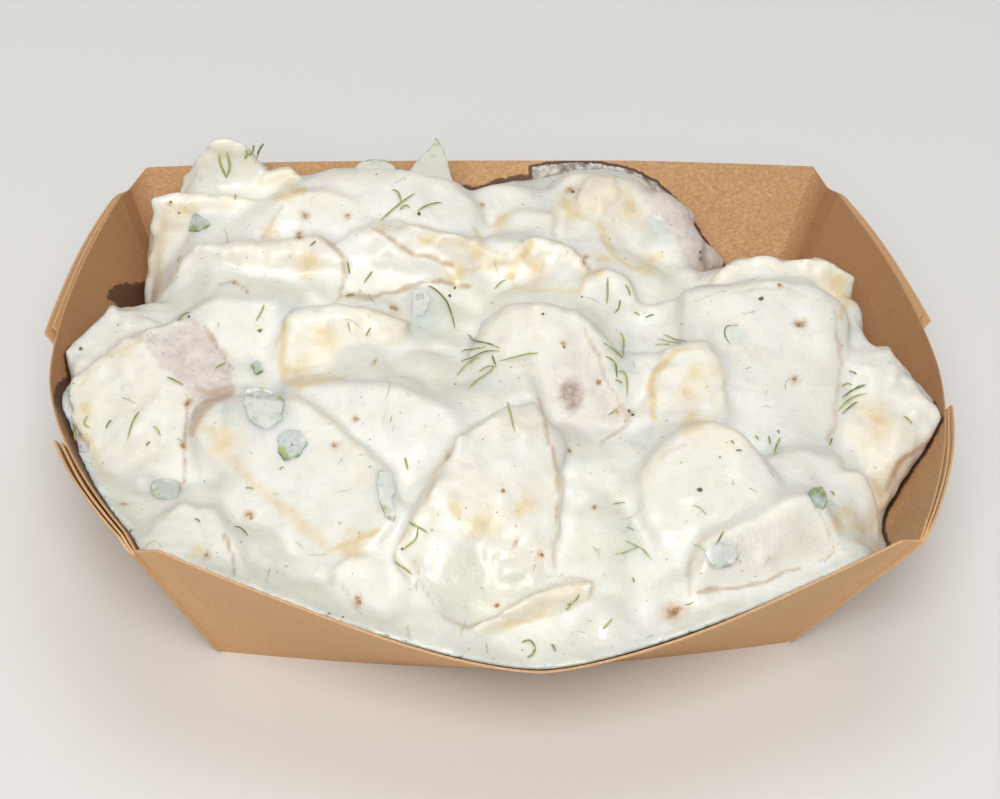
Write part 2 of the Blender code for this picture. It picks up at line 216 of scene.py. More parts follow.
tray = {
    "baseHalf": (59.5, 37.8),
    "rimHalf": (78.0, 58.8),
    "cornerHeight": 48.0,
    # how far each wall stands above the notched corner creases, and over what distance it rises
    "rise": {"front": (2.4, 4.5), "right": (1.8, 4.5), "back": (5.2, 3.8), "left": (1.8, 4.5)},
    # how far each wall bows out at the rim's middle, and how flat the bow's top is
    "bow": {"front": (25.0, 1.55), "right": (15.2, 1.75), "back": (4.8, 2.3), "left": (17.0, 1.7)},
    "baseBow": 0.25,  # the share of the bow that the base has
    "board": 0.5,
    "gap": 0.15,  # between the board and what lies in it
    "sideSteps": 160,
    "endSteps": 120,
    "levels": 48,
    "warp": 0.28,  # how far the board buckles
    "warpSize": 26.0,
    "stiffness": 6,  # how much more stiffly the creases between the walls hold than their middles
    "webWarp": 0.5,  # the share of the warp that the folded webs have
}


def wallSizes(wall):
    # (out, along) half sizes of this wall at the base, then at the rim
    side = wall in ("front", "back")
    out, along = (1, 0) if side else (0, 1)
    base, rim = tray["baseHalf"], tray["rimHalf"]
    return base[out], base[along], rim[out], rim[along]


def wallShape(wall, t):
    # reach at the base and at the rim, and the rim's height, at station t from -1 to 1
    outBase, halfBase, outRim, halfRim = wallSizes(wall)
    reach, sharpness = tray["bow"][wall]
    bow = reach * (1 - np.abs(t) ** sharpness)
    full, width = tray["rise"][wall]
    rise = full * np.minimum(1, (1 - np.abs(t)) * halfRim / width)
    low = outBase + tray["baseBow"] * bow
    high = outRim + bow
    length = math.hypot(outRim - outBase, tray["cornerHeight"]) + rise
    return low, high, np.sqrt(length**2 - (high - low) ** 2)


def wallPoints(wall, t, level, inset=0.0):
    t, level = np.broadcast_arrays(np.asarray(t, float), np.asarray(level, float))
    outBase, halfBase, outRim, halfRim = wallSizes(wall)
    low, high, height = wallShape(wall, t)
    run = high - low
    along = (halfBase + (halfRim - halfBase) * level) * t
    along = along - inset * math.hypot(1, (halfRim - halfBase) / tray["cornerHeight"]) * t
    out = low + run * level - inset * np.hypot(run, height) / height
    z = height * level
    places = {"front": (along, -out), "back": (along, out), "right": (out, along), "left": (-out, along)}
    x, y = places[wall]
    return np.stack([x, y, z], -1)


def insideWall(wall, x, y, z):
    # how far inside the board's outer face these points lie
    outBase, halfBase, outRim, halfRim = wallSizes(wall)
    along, out = {"front": (x, -y), "back": (x, y), "right": (y, x), "left": (y, -x)}[wall]
    level = z / tray["cornerHeight"]
    for _ in range(3):
        t = np.clip(along / (halfBase + (halfRim - halfBase) * level), -1, 1)
        low, high, height = wallShape(wall, t)
        level = z / height
    return (low + (high - low) * level - out) * height / np.hypot(high - low, height)


# All shapes are worked out in millimetres from the middle of the tray's base, and moved back by
# this much to the part's own origin when they become meshes.
trayShift = -float(wallPoints("front", 0, 1)[1] + wallPoints("back", 0, 1)[1]) / 2


# Camera.

shot = {
    "target": (1.4, 13.2, 25.0),
    "distance": 760.0,
    "down": 40.0,  # degrees above the horizon
    "around": -8.2,
    "roll": 4.79,
    "lens": 126.25,
    "sensor": 36.0,
    "frame": (1000, 799),
    "perMillimetre": 4.6,  # pixels
}


def aimCamera():
    down, around, roll = (math.radians(shot[key]) for key in ("down", "around", "roll"))
    back = Vector((math.sin(around) * math.cos(down), -math.cos(around) * math.cos(down), math.sin(down)))
    right = Vector((math.cos(around), math.sin(around), 0))
    up = back.cross(right)
    turned = (right * math.cos(roll) + up * math.sin(roll), up * math.cos(roll) - right * math.sin(roll))
    data = bpy.data.cameras.new("camera")
    data.lens, data.sensor_width = shot["lens"], shot["sensor"]
    camera = bpy.data.objects.new("camera", data)
    place = Matrix((turned[0], turned[1], back)).transposed().to_4x4()
    target = Vector(shot["target"]) + Vector((0, trayShift, 0))
    place.translation = (target + back * shot["distance"]) * mm
    camera.matrix_world = place
    bpy.context.scene.collection.objects.link(camera)
    bpy.context.scene.camera = camera
    return camera


camera = aimCamera()
cameraSpot = np.array(camera.matrix_world.translation) / mm - [0, trayShift, 0]


def pixelRay(pixel):
    # direction from the camera through a pixel of the frame
    width, height = shot["frame"]
    focal = shot["lens"] / shot["sensor"] * width
    local = Vector(((pixel[0] - width / 2) / focal, (height / 2 - pixel[1]) / focal, -1))
    return (camera.matrix_world.to_3x3() @ local).normalized()


# The heap of salad, as one smooth field that is then skinned.

heap = {
    "step": 0.82,
    "quickStep": 1.1,
    "foot": 1.2,  # where its flat underside lies
    "clear": 0.4,  # how far the underside stays off the board, beyond the usual gap
    "bottom": 13.0,  # the field is worked out from here up to the top
    "top": 73.0,
    "sides": (97.0, 84.0, 96.0, 74.0),  # how far the field goes: left, front, right, back
    "level": 37.0,  # the mound of dressing: its height at the walls, its crown, and how wide it is
    "crown": 15.5,
    "spread": (100.0, 90.0),
    "waves": [(1.5, 15.0, 0.3), (0.9, 7.5, 5.1), (0.42, 3.6, 2.2), (0.16, 1.9, 7.4)],  # height, size, shift
    "steepness": 0.86,
    # along a wall the dressing comes up to just below the rim: how near the wall it starts to rise,
    # how far below the rim it ends, and where along the wall this fades out and is full
    "byFront": {"reach": 30, "belowRim": 0.5, "fade": (74, 60)},
    "byLeft": {"reach": 16, "belowRim": 1.2, "fade": (10, -10)},
    # the dressing fills the gaps between pieces that stand within twice this reach, but not near the
    # board or in the pocket at the back right
    "fill": {
        "grid": (100.0, 90.0),
        "reach": 7,
        "below": 1.25,
        "blur": 3,
        "corner": 1.2,
        "margin": (3, 9),
        "sink": 12,  # how far it sinks out of sight towards the board
        "nowhere": -50,  # its height where there is none
        "pocket": ((46, 54), (20, 30)),
    },
    "smoothing": 90,  # rounds, for how hollow the surface is
    "coat": 0.4,  # the dressing on the pieces
    "sharpness": 0.4,
    "chunkBlend": 1.0,
    "dressingBlend": 1.2,
    "coatedBlend": 4.0,  # the dressing runs over the coated pieces this much more softly
    "boardBlend": 1.0,
    "faceWaves": [(0.5, 8.5), (0.28, 4.2)],
    # roughness of the pieces: on faces and on edges, fine lumps, and the share that the coat leaves
    "crumbs": {"size": 2.7, "flat": 0.13, "edge": 0.42, "edgeWidth": 1.8, "fine": (0.16, 1.7), "left": 0.35},
    # small diced pieces that the dressing covers: where they lie, their half sizes (the longest, then
    # shares of it), how deep their tops lie, and how far they stay off the board
    "bits": {
        "count": 90,
        "across": (-88, 88),
        "up": (-72, 56),
        "size": (3.0, 7.0),
        "width": (0.7, 1.2),
        "height": (0.6, 0.9),
        "deep": (0.2, 1.6),
        "margin": 3,
        "blend": 2.6,
        "wave": (0.5, 5.0),
    },
}
farAway = 50.0  # the distance to a surface that isn't near
uprightFace = 0.05  # the steepest slope that still counts as upright

# where the dressing falls away from the walls, or (below 0) swells: middle, radius, depth
hollows = [
    ((-34, 34), 26, -7),
    ((24, 34), 26, -5),
    ((-62, 30), 18, -3),
    ((-54, 46), 13, -7),
    ((60, 8), 16, -2.5),
    ((-8, -8), 14, 1.5),
    ((74, 46), 30, 24),
    ((-80, 36), 20, 20),
    ((90, -38), 17, 20),
    ((88, 10), 14, 10),
    ((-10, 66), 16, -1),
    ((30, 60), 15, -8),
]

# The potato pieces that stand out of the dressing. The outline is the part that is seen, as points
# (pixel across, pixel down, height in millimetres); the piece goes on below it by its depth.
# yellow: how yellow the piece is; soft: how far its edges are rounded; coated: the dressing runs
# over it.
potatoes = {
    "backLeftDome": {"outline": [
        (181, 199, 51), (187, 180, 57), (200, 158, 64), (212, 146, 68), (222, 141, 69.5),
        (236, 143, 69), (252, 156, 66), (264, 172, 61), (266, 192, 54), (240, 206, 51), (205, 208, 50),
    ], "depth": 14, "yellow": 0.25, "soft": 2.6},
    "backLeftSmall": {"outline": [
        (262, 182, 60), (272, 173, 62), (288, 170, 62.5), (299, 180, 60.5), (306, 191, 56),
        (294, 203, 52), (268, 207, 51),
    ], "depth": 9, "yellow": 0.75, "soft": 2.2},
    "leftBackBlock": {"outline": [
        (156, 201, 57), (175, 197, 58), (215, 197, 59), (283, 204, 59), (280, 240, 52), (146, 302, 34),
        (170, 310, 32), (215, 302, 38),
    ], "depth": 12, "yellow": 0.45, "soft": 2.4},
    "leftBackSlab": {"outline": [
        (198, 248, 57), (262, 250, 59), (318, 239, 60.5), (342, 259, 58), (339, 287, 52),
        (250, 296, 49.5), (205, 305, 46), (150, 317, 40), (166, 290, 46),
    ], "depth": 10, "yellow": 0.2, "soft": 2.2},
    "upperRound": {"outline": [
        (258, 241, 54), (268, 218, 58), (282, 204, 61), (300, 196, 62.5), (330, 192, 63),
        (352, 206, 61), (350, 230, 58), (318, 239, 56),
    ], "depth": 12, "yellow": 0.5, "soft": 4.0, "coated": True},
    "upperLong": {"outline": [
        (305, 192, 60), (320, 180, 62), (330, 172, 62.5), (346, 174, 63.5), (365, 173, 63.5),
        (402, 173, 63.5), (440, 181, 63), (456, 186, 61), (468, 198, 60.5), (478, 215, 58.5),
        (479, 234, 55), (468, 240, 54), (400, 226, 59), (350, 222, 60),
    ], "depth": 11, "yellow": 0.15, "soft": 3.0, "coated": True},
    "upperWedge": {"outline": [
        (344, 262, 56), (352, 234, 60), (373, 225, 61), (402, 232, 61.5), (440, 252, 60),
        (470, 268, 56), (425, 270, 55), (396, 286, 52), (350, 299, 49.5), (343, 291, 50),
    ], "depth": 5.5, "yellow": 0.1, "soft": 1.6},
    "upperWedgeRight": {"outline": [
        (376, 225, 61), (420, 229, 62), (452, 238, 61.5), (482, 246, 60), (508, 262, 56.5),
        (490, 274, 54), (440, 277, 54), (402, 256, 58),
    ], "depth": 5.5, "yellow": 0.85, "soft": 1.9},
    "centreYellow": {"outline": [
        (509, 276, 54), (518, 250, 59), (534, 240, 61), (560, 245, 61), (579, 256, 59.5),
        (592, 284, 55), (584, 294, 53), (545, 289, 53.5),
    ], "depth": 9, "yellow": 1.0, "soft": 2.4},
    "backHalf": {"outline": [
        (545, 195, 54), (556, 184, 57), (577, 174, 59), (612, 174, 60), (642, 187, 59), (669, 207, 56),
        (694, 235, 50), (717, 263, 42), (690, 268, 44), (655, 267, 48), (622, 269, 51), (592, 252, 55),
        (560, 224, 56),
    ], "depth": 12, "yellow": 0.45, "soft": 4.2},
    "leftBar": {"outline": [
        (290, 316, 58), (330, 308, 58.5), (372, 312, 58.5), (406, 325, 57), (396, 350, 53),
        (374, 368, 50.5), (330, 379, 49), (284, 384, 48.5), (279, 346, 53),
    ], "depth": 11, "yellow": 0.75, "soft": 2.0},
    "centreSkin": {"outline": [
        (470, 372, 55), (478, 340, 58), (492, 322, 61), (515, 308, 63), (545, 305, 63.5),
        (576, 315, 62.5), (602, 336, 60), (619, 360, 57), (628, 386, 53), (625, 412, 52),
        (610, 431, 50), (588, 444, 48.5), (560, 446, 49), (535, 404, 54), (500, 412, 53),
        (478, 402, 53),
    ], "depth": 13, "yellow": 0.1, "soft": 4.2},
    "farLeft": {"outline": [
        (106, 315, 48), (113, 309, 49.5), (131, 310, 50), (145, 321, 50), (160, 330, 50),
        (112, 354, 48), (76, 378, 45), (70, 354, 45), (80, 341, 46.5), (100, 331, 47.5),
    ], "depth": 14, "yellow": 0.2, "soft": 2.0},
    "leftCube": {"outline": [
        (112, 353, 51), (133, 338, 53), (166, 327, 54), (192, 326, 54), (210, 344, 53), (229, 363, 51),
        (230, 402, 48), (204, 408, 48), (198, 428, 46), (186, 480, 43), (130, 486, 41.5), (88, 442, 43),
        (72, 402, 45), (76, 380, 47),
    ], "depth": 12, "yellow": 0.3, "soft": 1.6},
    "leftMiddle": {"outline": [
        (186, 318, 54), (226, 300, 56), (272, 311, 55.5), (276, 340, 52), (240, 352, 50.5),
        (214, 336, 52.5),
    ], "depth": 9, "yellow": 0.3, "soft": 3.0, "coated": True},
    "leftLong": {"outline": [
        (203, 410, 51), (236, 402, 53.5), (252, 397, 54.5), (300, 406, 56), (345, 436, 55),
        (385, 476, 52), (389, 512, 50), (362, 545, 46), (335, 557, 44), (290, 523, 45), (235, 470, 48),
        (202, 430, 50),
    ], "depth": 9, "yellow": 0.4, "soft": 2.2, "coated": True},
    "centreLeft": {"outline": [
        (292, 394, 54), (340, 386, 56.5), (400, 393, 57.5), (440, 410, 57.5), (452, 440, 54),
        (420, 470, 50), (380, 468, 50), (330, 440, 52),
    ], "depth": 10, "yellow": 0.0, "soft": 5.0, "coated": True},
    "frontBig": {"outline": [
        (534, 403, 60), (505, 411, 60.5), (458, 440, 59), (436, 490, 56), (401, 540, 49.5),
        (402, 562, 46.5), (425, 600, 41.5), (442, 620, 38.5), (466, 633, 36), (500, 616, 38.5),
        (546, 583, 43), (554, 525, 49.5), (560, 480, 54.5), (550, 430, 58.5),
    ], "depth": 9, "yellow": 0.25, "soft": 2.0},
    "frontWedge": {"outline": [
        (470, 634, 39), (520, 606, 43), (552, 590, 44.5), (589, 583, 45), (586, 600, 42),
        (545, 617, 40), (500, 640, 36),
    ], "depth": 4.5, "yellow": 0.6, "soft": 1.4},
    "rightSlab": {"outline": [
        (689, 301, 58), (725, 291, 60), (765, 286, 60.5), (805, 290, 59), (826, 306, 56.5),
        (837, 350, 52), (840, 400, 48), (834, 440, 45), (790, 452, 46), (700, 444, 49), (684, 380, 52),
        (687, 330, 56.5),
    ], "depth": 10, "yellow": 0.15, "soft": 2.0, "coated": True},
    "rightSlabLeft": {"outline": [
        (651, 388, 54), (665, 352, 58), (706, 343, 59), (722, 380, 55.5), (718, 432, 51),
        (690, 442, 50), (665, 447, 49), (649, 432, 50.5),
    ], "depth": 9, "yellow": 0.6, "soft": 2.0},
    "rightBack": {"outline": [
        (711, 286, 53), (722, 272, 55.5), (737, 262, 57), (790, 262, 57.5), (833, 268, 56),
        (850, 279, 53), (848, 309, 46), (826, 313, 47), (800, 292, 53), (740, 292, 53),
    ], "depth": 11, "yellow": 0.65, "soft": 1.6},
    "rightTip": {"outline": [
        (848, 372, 48), (868, 352, 50), (888, 350, 50), (904, 376, 49), (921, 398, 48), (941, 420, 45),
        (937, 432, 42), (899, 456, 44), (894, 482, 39), (880, 512, 34), (850, 480, 41), (840, 440, 45),
    ], "depth": 9, "yellow": 0.5, "soft": 1.6},
    "rightRound": {"outline": [
        (662, 452, 55), (690, 429, 58), (716, 425, 59), (742, 440, 58), (764, 470, 54), (770, 492, 51),
        (740, 512, 49), (700, 527, 48), (664, 532, 47), (648, 502, 50), (650, 472, 53),
    ], "depth": 10, "yellow": 0.45, "soft": 4.0, "coated": True},
    "rightInner": {"outline": [
        (770, 462, 51), (800, 452, 52), (836, 462, 50), (838, 492, 47), (800, 500, 48), (768, 490, 49),
    ], "depth": 9, "yellow": 0.0, "soft": 4.0, "coated": True},
    "rightLow": {"outline": [
        (828, 486, 48), (846, 477, 49), (862, 478, 48.5), (873, 500, 45), (877, 525, 41),
        (862, 541, 39), (838, 524, 43),
    ], "depth": 10, "yellow": 0.7, "soft": 2.0, "coated": True},
    "frontRight": {"outline": [
        (694, 562, 46), (706, 542, 49.5), (760, 521, 52), (800, 501, 53.5), (816, 501, 53),
        (832, 530, 49), (835, 562, 45), (829, 570, 44), (780, 581, 43.5), (698, 592, 43),
    ], "depth": 8, "yellow": 0.35, "soft": 2.0, "coated": True},
    "frontLeftBit": {"outline": [
        (157, 546, 45.5), (168, 525, 47), (183, 507, 48), (197, 520, 47.5), (201, 546, 46),
        (190, 560, 44.5),
    ], "depth": 8, "yellow": 0.5, "soft": 2.4, "coated": True},
    "frontLeftSlice": {"outline": [
        (193, 513, 48), (214, 516, 48), (229, 545, 46), (236, 576, 43), (216, 570, 43.5),
        (200, 558, 44.5),
    ], "depth": 6, "yellow": 0.4, "soft": 2.0, "coated": True},
    "frontBit": {"outline": [
        (338, 572, 44), (352, 558, 46), (372, 565, 45.5), (380, 590, 42.5), (386, 612, 40),
        (368, 622, 38.5), (352, 610, 40),
    ], "depth": 7, "yellow": 0.55, "soft": 2.2, "coated": True},
    "backBit": {"outline": [
        (500, 228, 55.5), (520, 216, 57), (546, 219, 57), (541, 241, 55), (510, 246, 54),
    ], "depth": 8, "yellow": 0.5, "soft": 3.0, "coated": True},
    "backLump": {"outline": [
        (478, 200, 57), (500, 188, 58), (522, 194, 57.5), (530, 210, 56), (490, 216, 55.5),
    ], "depth": 9, "yellow": 0.2, "soft": 3.5, "coated": True},
    "backTip": {"outline": [
        (578, 200, 58.5), (584, 184, 60), (598, 176, 60.5), (612, 180, 60.5), (618, 192, 59.5),
        (604, 210, 58), (588, 216, 57),
    ], "depth": 7, "yellow": 0.9, "soft": 1.8},
    "rightNeck": {"outline": [
        (826, 318, 50), (848, 316, 50.5), (852, 334, 50), (870, 349, 50), (868, 366, 49.5),
        (838, 360, 49.5),
    ], "depth": 9, "yellow": 0.0, "soft": 3.0, "coated": True},
    "tipKnob": {"outline": [
        (866, 366, 50.5), (876, 352, 51.5), (888, 352, 51.5), (895, 366, 50.5), (892, 382, 49.5),
        (874, 384, 49.5),
    ], "depth": 6, "yellow": 0.2, "soft": 2.0},
    "centreLump": {"outline": [
        (592, 288, 57), (606, 273, 59.5), (626, 280, 58.5), (632, 301, 55.5), (600, 306, 55),
    ], "depth": 8, "yellow": 0.2, "soft": 3.0, "coated": True},
}


def sceneSpot(across, down, height):
    # the point at this height, in millimetres, that is seen at a pixel of the frame
    ray = np.array(pixelRay((across, down)))
    return cameraSpot + ray * (height - cameraSpot[2]) / ray[2]


# Where the dressing rises between pieces: pixel and height, radius, how far it rises.
swells = [
    ((405, 520, 48), 9, 3.2),
    ((430, 460, 50), 8, 2.2),
    ((340, 384, 51), 9, 1.6),
    ((690, 548, 46), 8, 2.2),
    ((785, 458, 51), 8, 1.6),
    ((658, 440, 53), 7, 1.4),
    ((255, 490, 48), 10, 1.5),
    ((520, 302, 56), 9, 2.4),
    ((565, 300, 55), 8, 2.0),
    ((430, 395, 52), 9, 1.5),
    ((468, 418, 53), 8, 2.0),
    ((568, 450, 51), 7, 1.5),
    ((503, 556, 46), 9, -2.0),
]
smoothArea = {"spot": sceneSpot(503, 556, 46), "radius": 9}  # no covered bit bulges here
swellRows = [(sceneSpot(*spot), radius, rise) for spot, radius, rise in swells]


sameFace = 0.985  # planes whose normals agree at least this well are one face


def hullPlanes(points):
    # the flat faces round the points: each one's normal, and how far out it lies
    bm = bmesh.new()
    for point in points:
        bm.verts.new(point)
    bmesh.ops.convex_hull(bm, input=bm.verts)
    bm.normal_update()
    planes = []
    for face in sorted(bm.faces, key=lambda face: -face.calc_area()):
        normal = np.array(face.normal)
        if all(normal @ other < sameFace for other, _ in planes):
            planes.append((normal, max(float(normal @ np.array(point)) for point in points)))
    bm.free()
    return planes


chunkShape = {
    "outset": 0.3,  # rounding takes a little off the corners, so they start this share of it out
    "taper": 0.1,  # how much the piece narrows downwards
    "side": 0.6,  # shares of the depth: how far its sides go on away from the camera, and how far its
    "foot": 0.55,  # foot goes both away from the camera and down
    "margin": 6,  # millimetres round the piece in which its field counts
}


def shapeChunk(name, row):
    top = np.array([sceneSpot(*point) for point in row["outline"]])
    middle = top.mean(0)
    away = middle - cameraSpot
    away = away / np.linalg.norm(away) * row["depth"]
    soft = row["soft"] * heap["sharpness"]
    outwards = (top - middle) / np.linalg.norm(top - middle, axis=1, keepdims=True)
    top = top + outwards * soft * chunkShape["outset"]
    sink = np.array([0, 0, -chunkShape["foot"]]) * row["depth"]
    below = top + (middle - top) * chunkShape["taper"] + away * chunkShape["foot"] + sink
    points = np.concatenate([top, top + away * chunkShape["side"], below])
    middle = points.mean(0)
    reach = float(np.linalg.norm(points - middle, axis=1).max()) + chunkShape["margin"]
    shaped = {"planes": hullPlanes(points), "middle": middle, "reach": reach, "soft": soft}
    return {"coated": False, **row, "name": name, **shaped}


def chunkField(chunk, points):
    # signed distance in millimetres to one potato piece, negative inside, and how near an edge is
    field = second = None
    for normal, distance in chunk["planes"]:
        side = points @ normal - distance
        if field is None:
            first, second, field = side, np.full(len(side), -99.0), side
            continue
        second = np.maximum(second, np.minimum(first, side))
        first = np.maximum(first, side)
        field = softMax(field, side, chunk["soft"])
    # faces wave a little, and edges crumble
    shift, crumbs = chunk["middle"][0], heap["crumbs"]
    for depth, size in heap["faceWaves"]:
        field = field + depth * lumps(points, size, shift)
    ridge = np.exp(-((first - second) / crumbs["edgeWidth"]) ** 2)
    rough = (crumbs["flat"] + crumbs["edge"] * ridge) * lumps(points, crumbs["size"], shift)
    rough = rough + crumbs["fine"][0] * lumps(points, crumbs["fine"][1], shift)
    return field + (crumbs["left"] if chunk["coated"] else 1.0) * rough, first - second


def settledHeight(x, y):
    # the dressing by itself, without the pieces
    crown = (1 - (x / heap["spread"][0]) ** 2) * (1 - (y / heap["spread"][1]) ** 2)
    z = heap["level"] + heap["crown"] * np.maximum(crown, 0)
    for (cx, cy), radius, depth in hollows:
        z = z - depth * np.exp(-((x - cx) ** 2 + (y - cy) ** 2) / radius**2)
    for (cx, cy, _), radius, rise in swellRows:
        z = z + rise * np.exp(-((x - cx) ** 2 + (y - cy) ** 2) / radius**2)
    for wall, row, along, out in (("front", heap["byFront"], x, y), ("left", heap["byLeft"], y, x)):
        full = tray["rimHalf"][0 if wall == "front" else 1]
        _, rimOut, rimHeight = wallShape(wall, np.clip(along / full, -1, 1))
        near = smoothstep(row["reach"], 0, rimOut + out) * smoothstep(*row["fade"], along)
        z = z + near * (rimHeight - row["belowRim"] - z)
    return z


def fillLevels():
    # a grid of heights, 1 mm apart, that the dressing reaches where pieces stand close together: the
    # highest point round each spot, then the lowest of those, then softened
    fill = heap["fill"]
    halfX, halfY = fill["grid"]
    x, y = np.meshgrid(np.arange(-halfX, halfX + 1), np.arange(-halfY, halfY + 1), indexing="ij")
    closed = settledHeight(x, y)
    for chunk in chunkRows:
        # where an upright line is in the piece: under its upper faces, over its lower faces, and
        # within its upright ones
        high, low = np.full(x.shape, 99.0), np.full(x.shape, -99.0)
        for normal, distance in chunk["planes"]:
            room = distance - normal[0] * x - normal[1] * y
            if normal[2] > uprightFace:
                high = np.minimum(high, room / normal[2])
            elif normal[2] < -uprightFace:
                low = np.maximum(low, room / normal[2])
            else:
                high = np.where(room < 0, -99, high)
        closed = np.where(high > low, np.maximum(closed, high), closed)
    for pick in (np.maximum, np.minimum):
        for axis in (0, 1):
            rows = [np.roll(closed, k, axis) for k in range(-fill["reach"], fill["reach"] + 1)]
            closed = pick.reduce(rows)
    for _ in range(fill["blur"]):
        for axis in (0, 1):
            closed = (np.roll(closed, 1, axis) + closed * 2 + np.roll(closed, -1, axis)) / 4
    inside = -cavityField(np.stack([x, y, closed], -1))
    pocketX, pocketY = fill["pocket"]
    kept = smoothstep(*fill["margin"], inside)
    kept = kept * (1 - smoothstep(*pocketX, x) * smoothstep(*pocketY, y))
    return np.where(kept > 0, closed - fill["below"] - fill["sink"] * (1 - kept), fill["nowhere"])


def fillHeight(x, y):
    halfX, halfY = heap["fill"]["grid"]
    across, up = np.clip(x + halfX, 0, 2 * halfX - 0.01), np.clip(y + halfY, 0, 2 * halfY - 0.01)
    i, j = across.astype(int), up.astype(int)
    u, v = across - i, up - j
    near = fillGrid[i, j] * (1 - u) + fillGrid[i + 1, j] * u
    far = fillGrid[i, j + 1] * (1 - u) + fillGrid[i + 1, j + 1] * u
    return near * (1 - v) + far * v


def moundHeight(x, y):
    z = softMax(settledHeight(x, y), fillHeight(x, y), heap["fill"]["corner"])
    flat = np.stack([x, y, np.zeros_like(x)], -1)
    for height, size, shift in heap["waves"]:
        z = z + height * lumps(flat, size, shift)
    return z


def cavityField(points):
    # signed distance to the room inside the tray, negative inside
    x, y, z = points[..., 0], points[..., 1], points[..., 2]
    inside = np.minimum.reduce([insideWall(wall, x, y, z) for wall in tray["bow"]])
    return tray["board"] + tray["gap"] - inside


def contents(points, detail=False):
    # the field of the potato pieces and the dressing between them, without the tray
    bare, coated, gap = (np.full(len(points), farAway) for _ in range(3))
    nearest, edge = np.full(len(points), -1), np.full(len(points), 9.0)
    for number, chunk in enumerate(chunkRows):
        near = np.flatnonzero((np.abs(points - chunk["middle"]) < chunk["reach"]).all(-1))
        field, ridge = chunkField(chunk, points[near])
        if detail:
            closer = field < gap[near]
            spot = near[closer]
            gap[spot], nearest[spot], edge[spot] = field[closer], number, ridge[closer]
        kind = coated if chunk["coated"] else bare
        kind[near] = softMin(kind[near], field, heap["chunkBlend"])
    mound = (points[:, 2] - moundHeight(points[:, 0], points[:, 1])) * heap["steepness"]
    depth, width = heap["bits"]["wave"]
    for middle, size in bits:
        near = np.flatnonzero((np.abs(points - middle) < size.max() + 5).all(-1))
        shape = (np.linalg.norm((points[near] - middle) / size, axis=-1) - 1) * size.min()
        shape = shape + depth * lumps(points[near], width, middle[0])
        mound[near] = softMin(mound[near], shape, heap["bits"]["blend"])
    field = softMin(coated - heap["coat"], mound, heap["coatedBlend"])
    field = softMin(bare - heap["coat"], field, heap["dressingBlend"])
    return (field, gap, nearest, edge) if detail else field


def heapValue(points):
    return softMax(contents(points), cavityField(points), heap["boardBlend"])


def heapGrid(low, high, step):
    counts = np.ceil((np.array(high) - low) / step).astype(int) + 1
    axes = [low[i] + step * np.arange(counts[i]) for i in range(3)]
    field = np.empty(counts)
    for i in range(counts[0]):
        plane = np.stack(np.meshgrid(axes[0][i:i + 1], axes[1], axes[2], indexing="ij"), -1)
        field[i] = heapValue(plane.reshape(-1, 3)).reshape(counts[1:])
    return field, np.array(low), step


settling = {
    "rounds": 2,
    "probe": 0.08,  # the distance over which the field's slope is measured
    "flattest": 0.3,  # the least squared slope that a move is worked out from
    "furthest": 0.5,  # one move
    "level": 1.5,  # points this near the open lower edge don't move up or down
}


def settle(points):
    # moves the points onto the field's own surface
    probe, most = settling["probe"], settling["furthest"]
    for _ in range(settling["rounds"]):
        value = heapValue(points)
        slope = np.stack([heapValue(points + shift) - value for shift in np.eye(3) * probe], -1) / probe
        move = value[:, None] * slope / np.maximum((slope**2).sum(-1, keepdims=True), settling["flattest"])
        move[:, 2] = np.where(points[:, 2] < heap["bottom"] + settling["level"], 0, move[:, 2])
        points = points - np.clip(move, -most, most)
    return points


def skinField(field, origin, step):
    # one point in each cell that the surface crosses, joined across the grid's edges
    size = np.array(field.shape)
    inside = field < 0
    corners = [(i, j, k) for i in (0, 1) for j in (0, 1) for k in (0, 1)]
    count = 0
    for i, j, k in corners:
        count = count + inside[i:size[0] - 1 + i, j:size[1] - 1 + j, k:size[2] - 1 + k].astype(int)
    crossed = (count > 0) & (count < 8)
    cells = np.argwhere(crossed)
    index = np.full(crossed.shape, -1)
    index[crossed] = np.arange(len(cells))
    total, hits = np.zeros((len(cells), 3)), np.zeros(len(cells))
    for a in corners:
        for axis in range(3):
            if a[axis]:
                continue
            b = tuple(1 if n == axis else a[n] for n in range(3))
            valueA = field[tuple((cells + a).T)]
            valueB = field[tuple((cells + b).T)]
            change = (valueA < 0) != (valueB < 0)
            share = valueA / np.where(change, valueA - valueB, 1)
            point = np.array(a) + share[:, None] * (np.array(b) - np.array(a))
            total[change] += point[change]
            hits[change] += 1
    points = origin + step * (cells + total / hits[:, None])
    faces = []
    for axis in range(3):
        u, v = (axis + 1) % 3, (axis + 2) % 3
        here = [slice(None)] * 3
        here[axis], here[u], here[v] = slice(0, -1), slice(1, -1), slice(1, -1)
        ahead = list(here)
        ahead[axis] = slice(1, None)
        start, end = inside[tuple(here)], inside[tuple(ahead)]
        for flip in (False, True):
            edges = np.argwhere((start & ~end) if not flip else (~start & end))
            edges[:, u] += 1
            edges[:, v] += 1
            ring = []
            for du, dv in ((-1, -1), (0, -1), (0, 0), (-1, 0)):
                cell = edges.copy()
                cell[:, u] += du
                cell[:, v] += dv
                ring.append(index[tuple(cell.T)])
            ring = np.stack(ring, 1)
            faces.append(ring[:, ::-1] if flip else ring)
    return points, np.concatenate(faces)


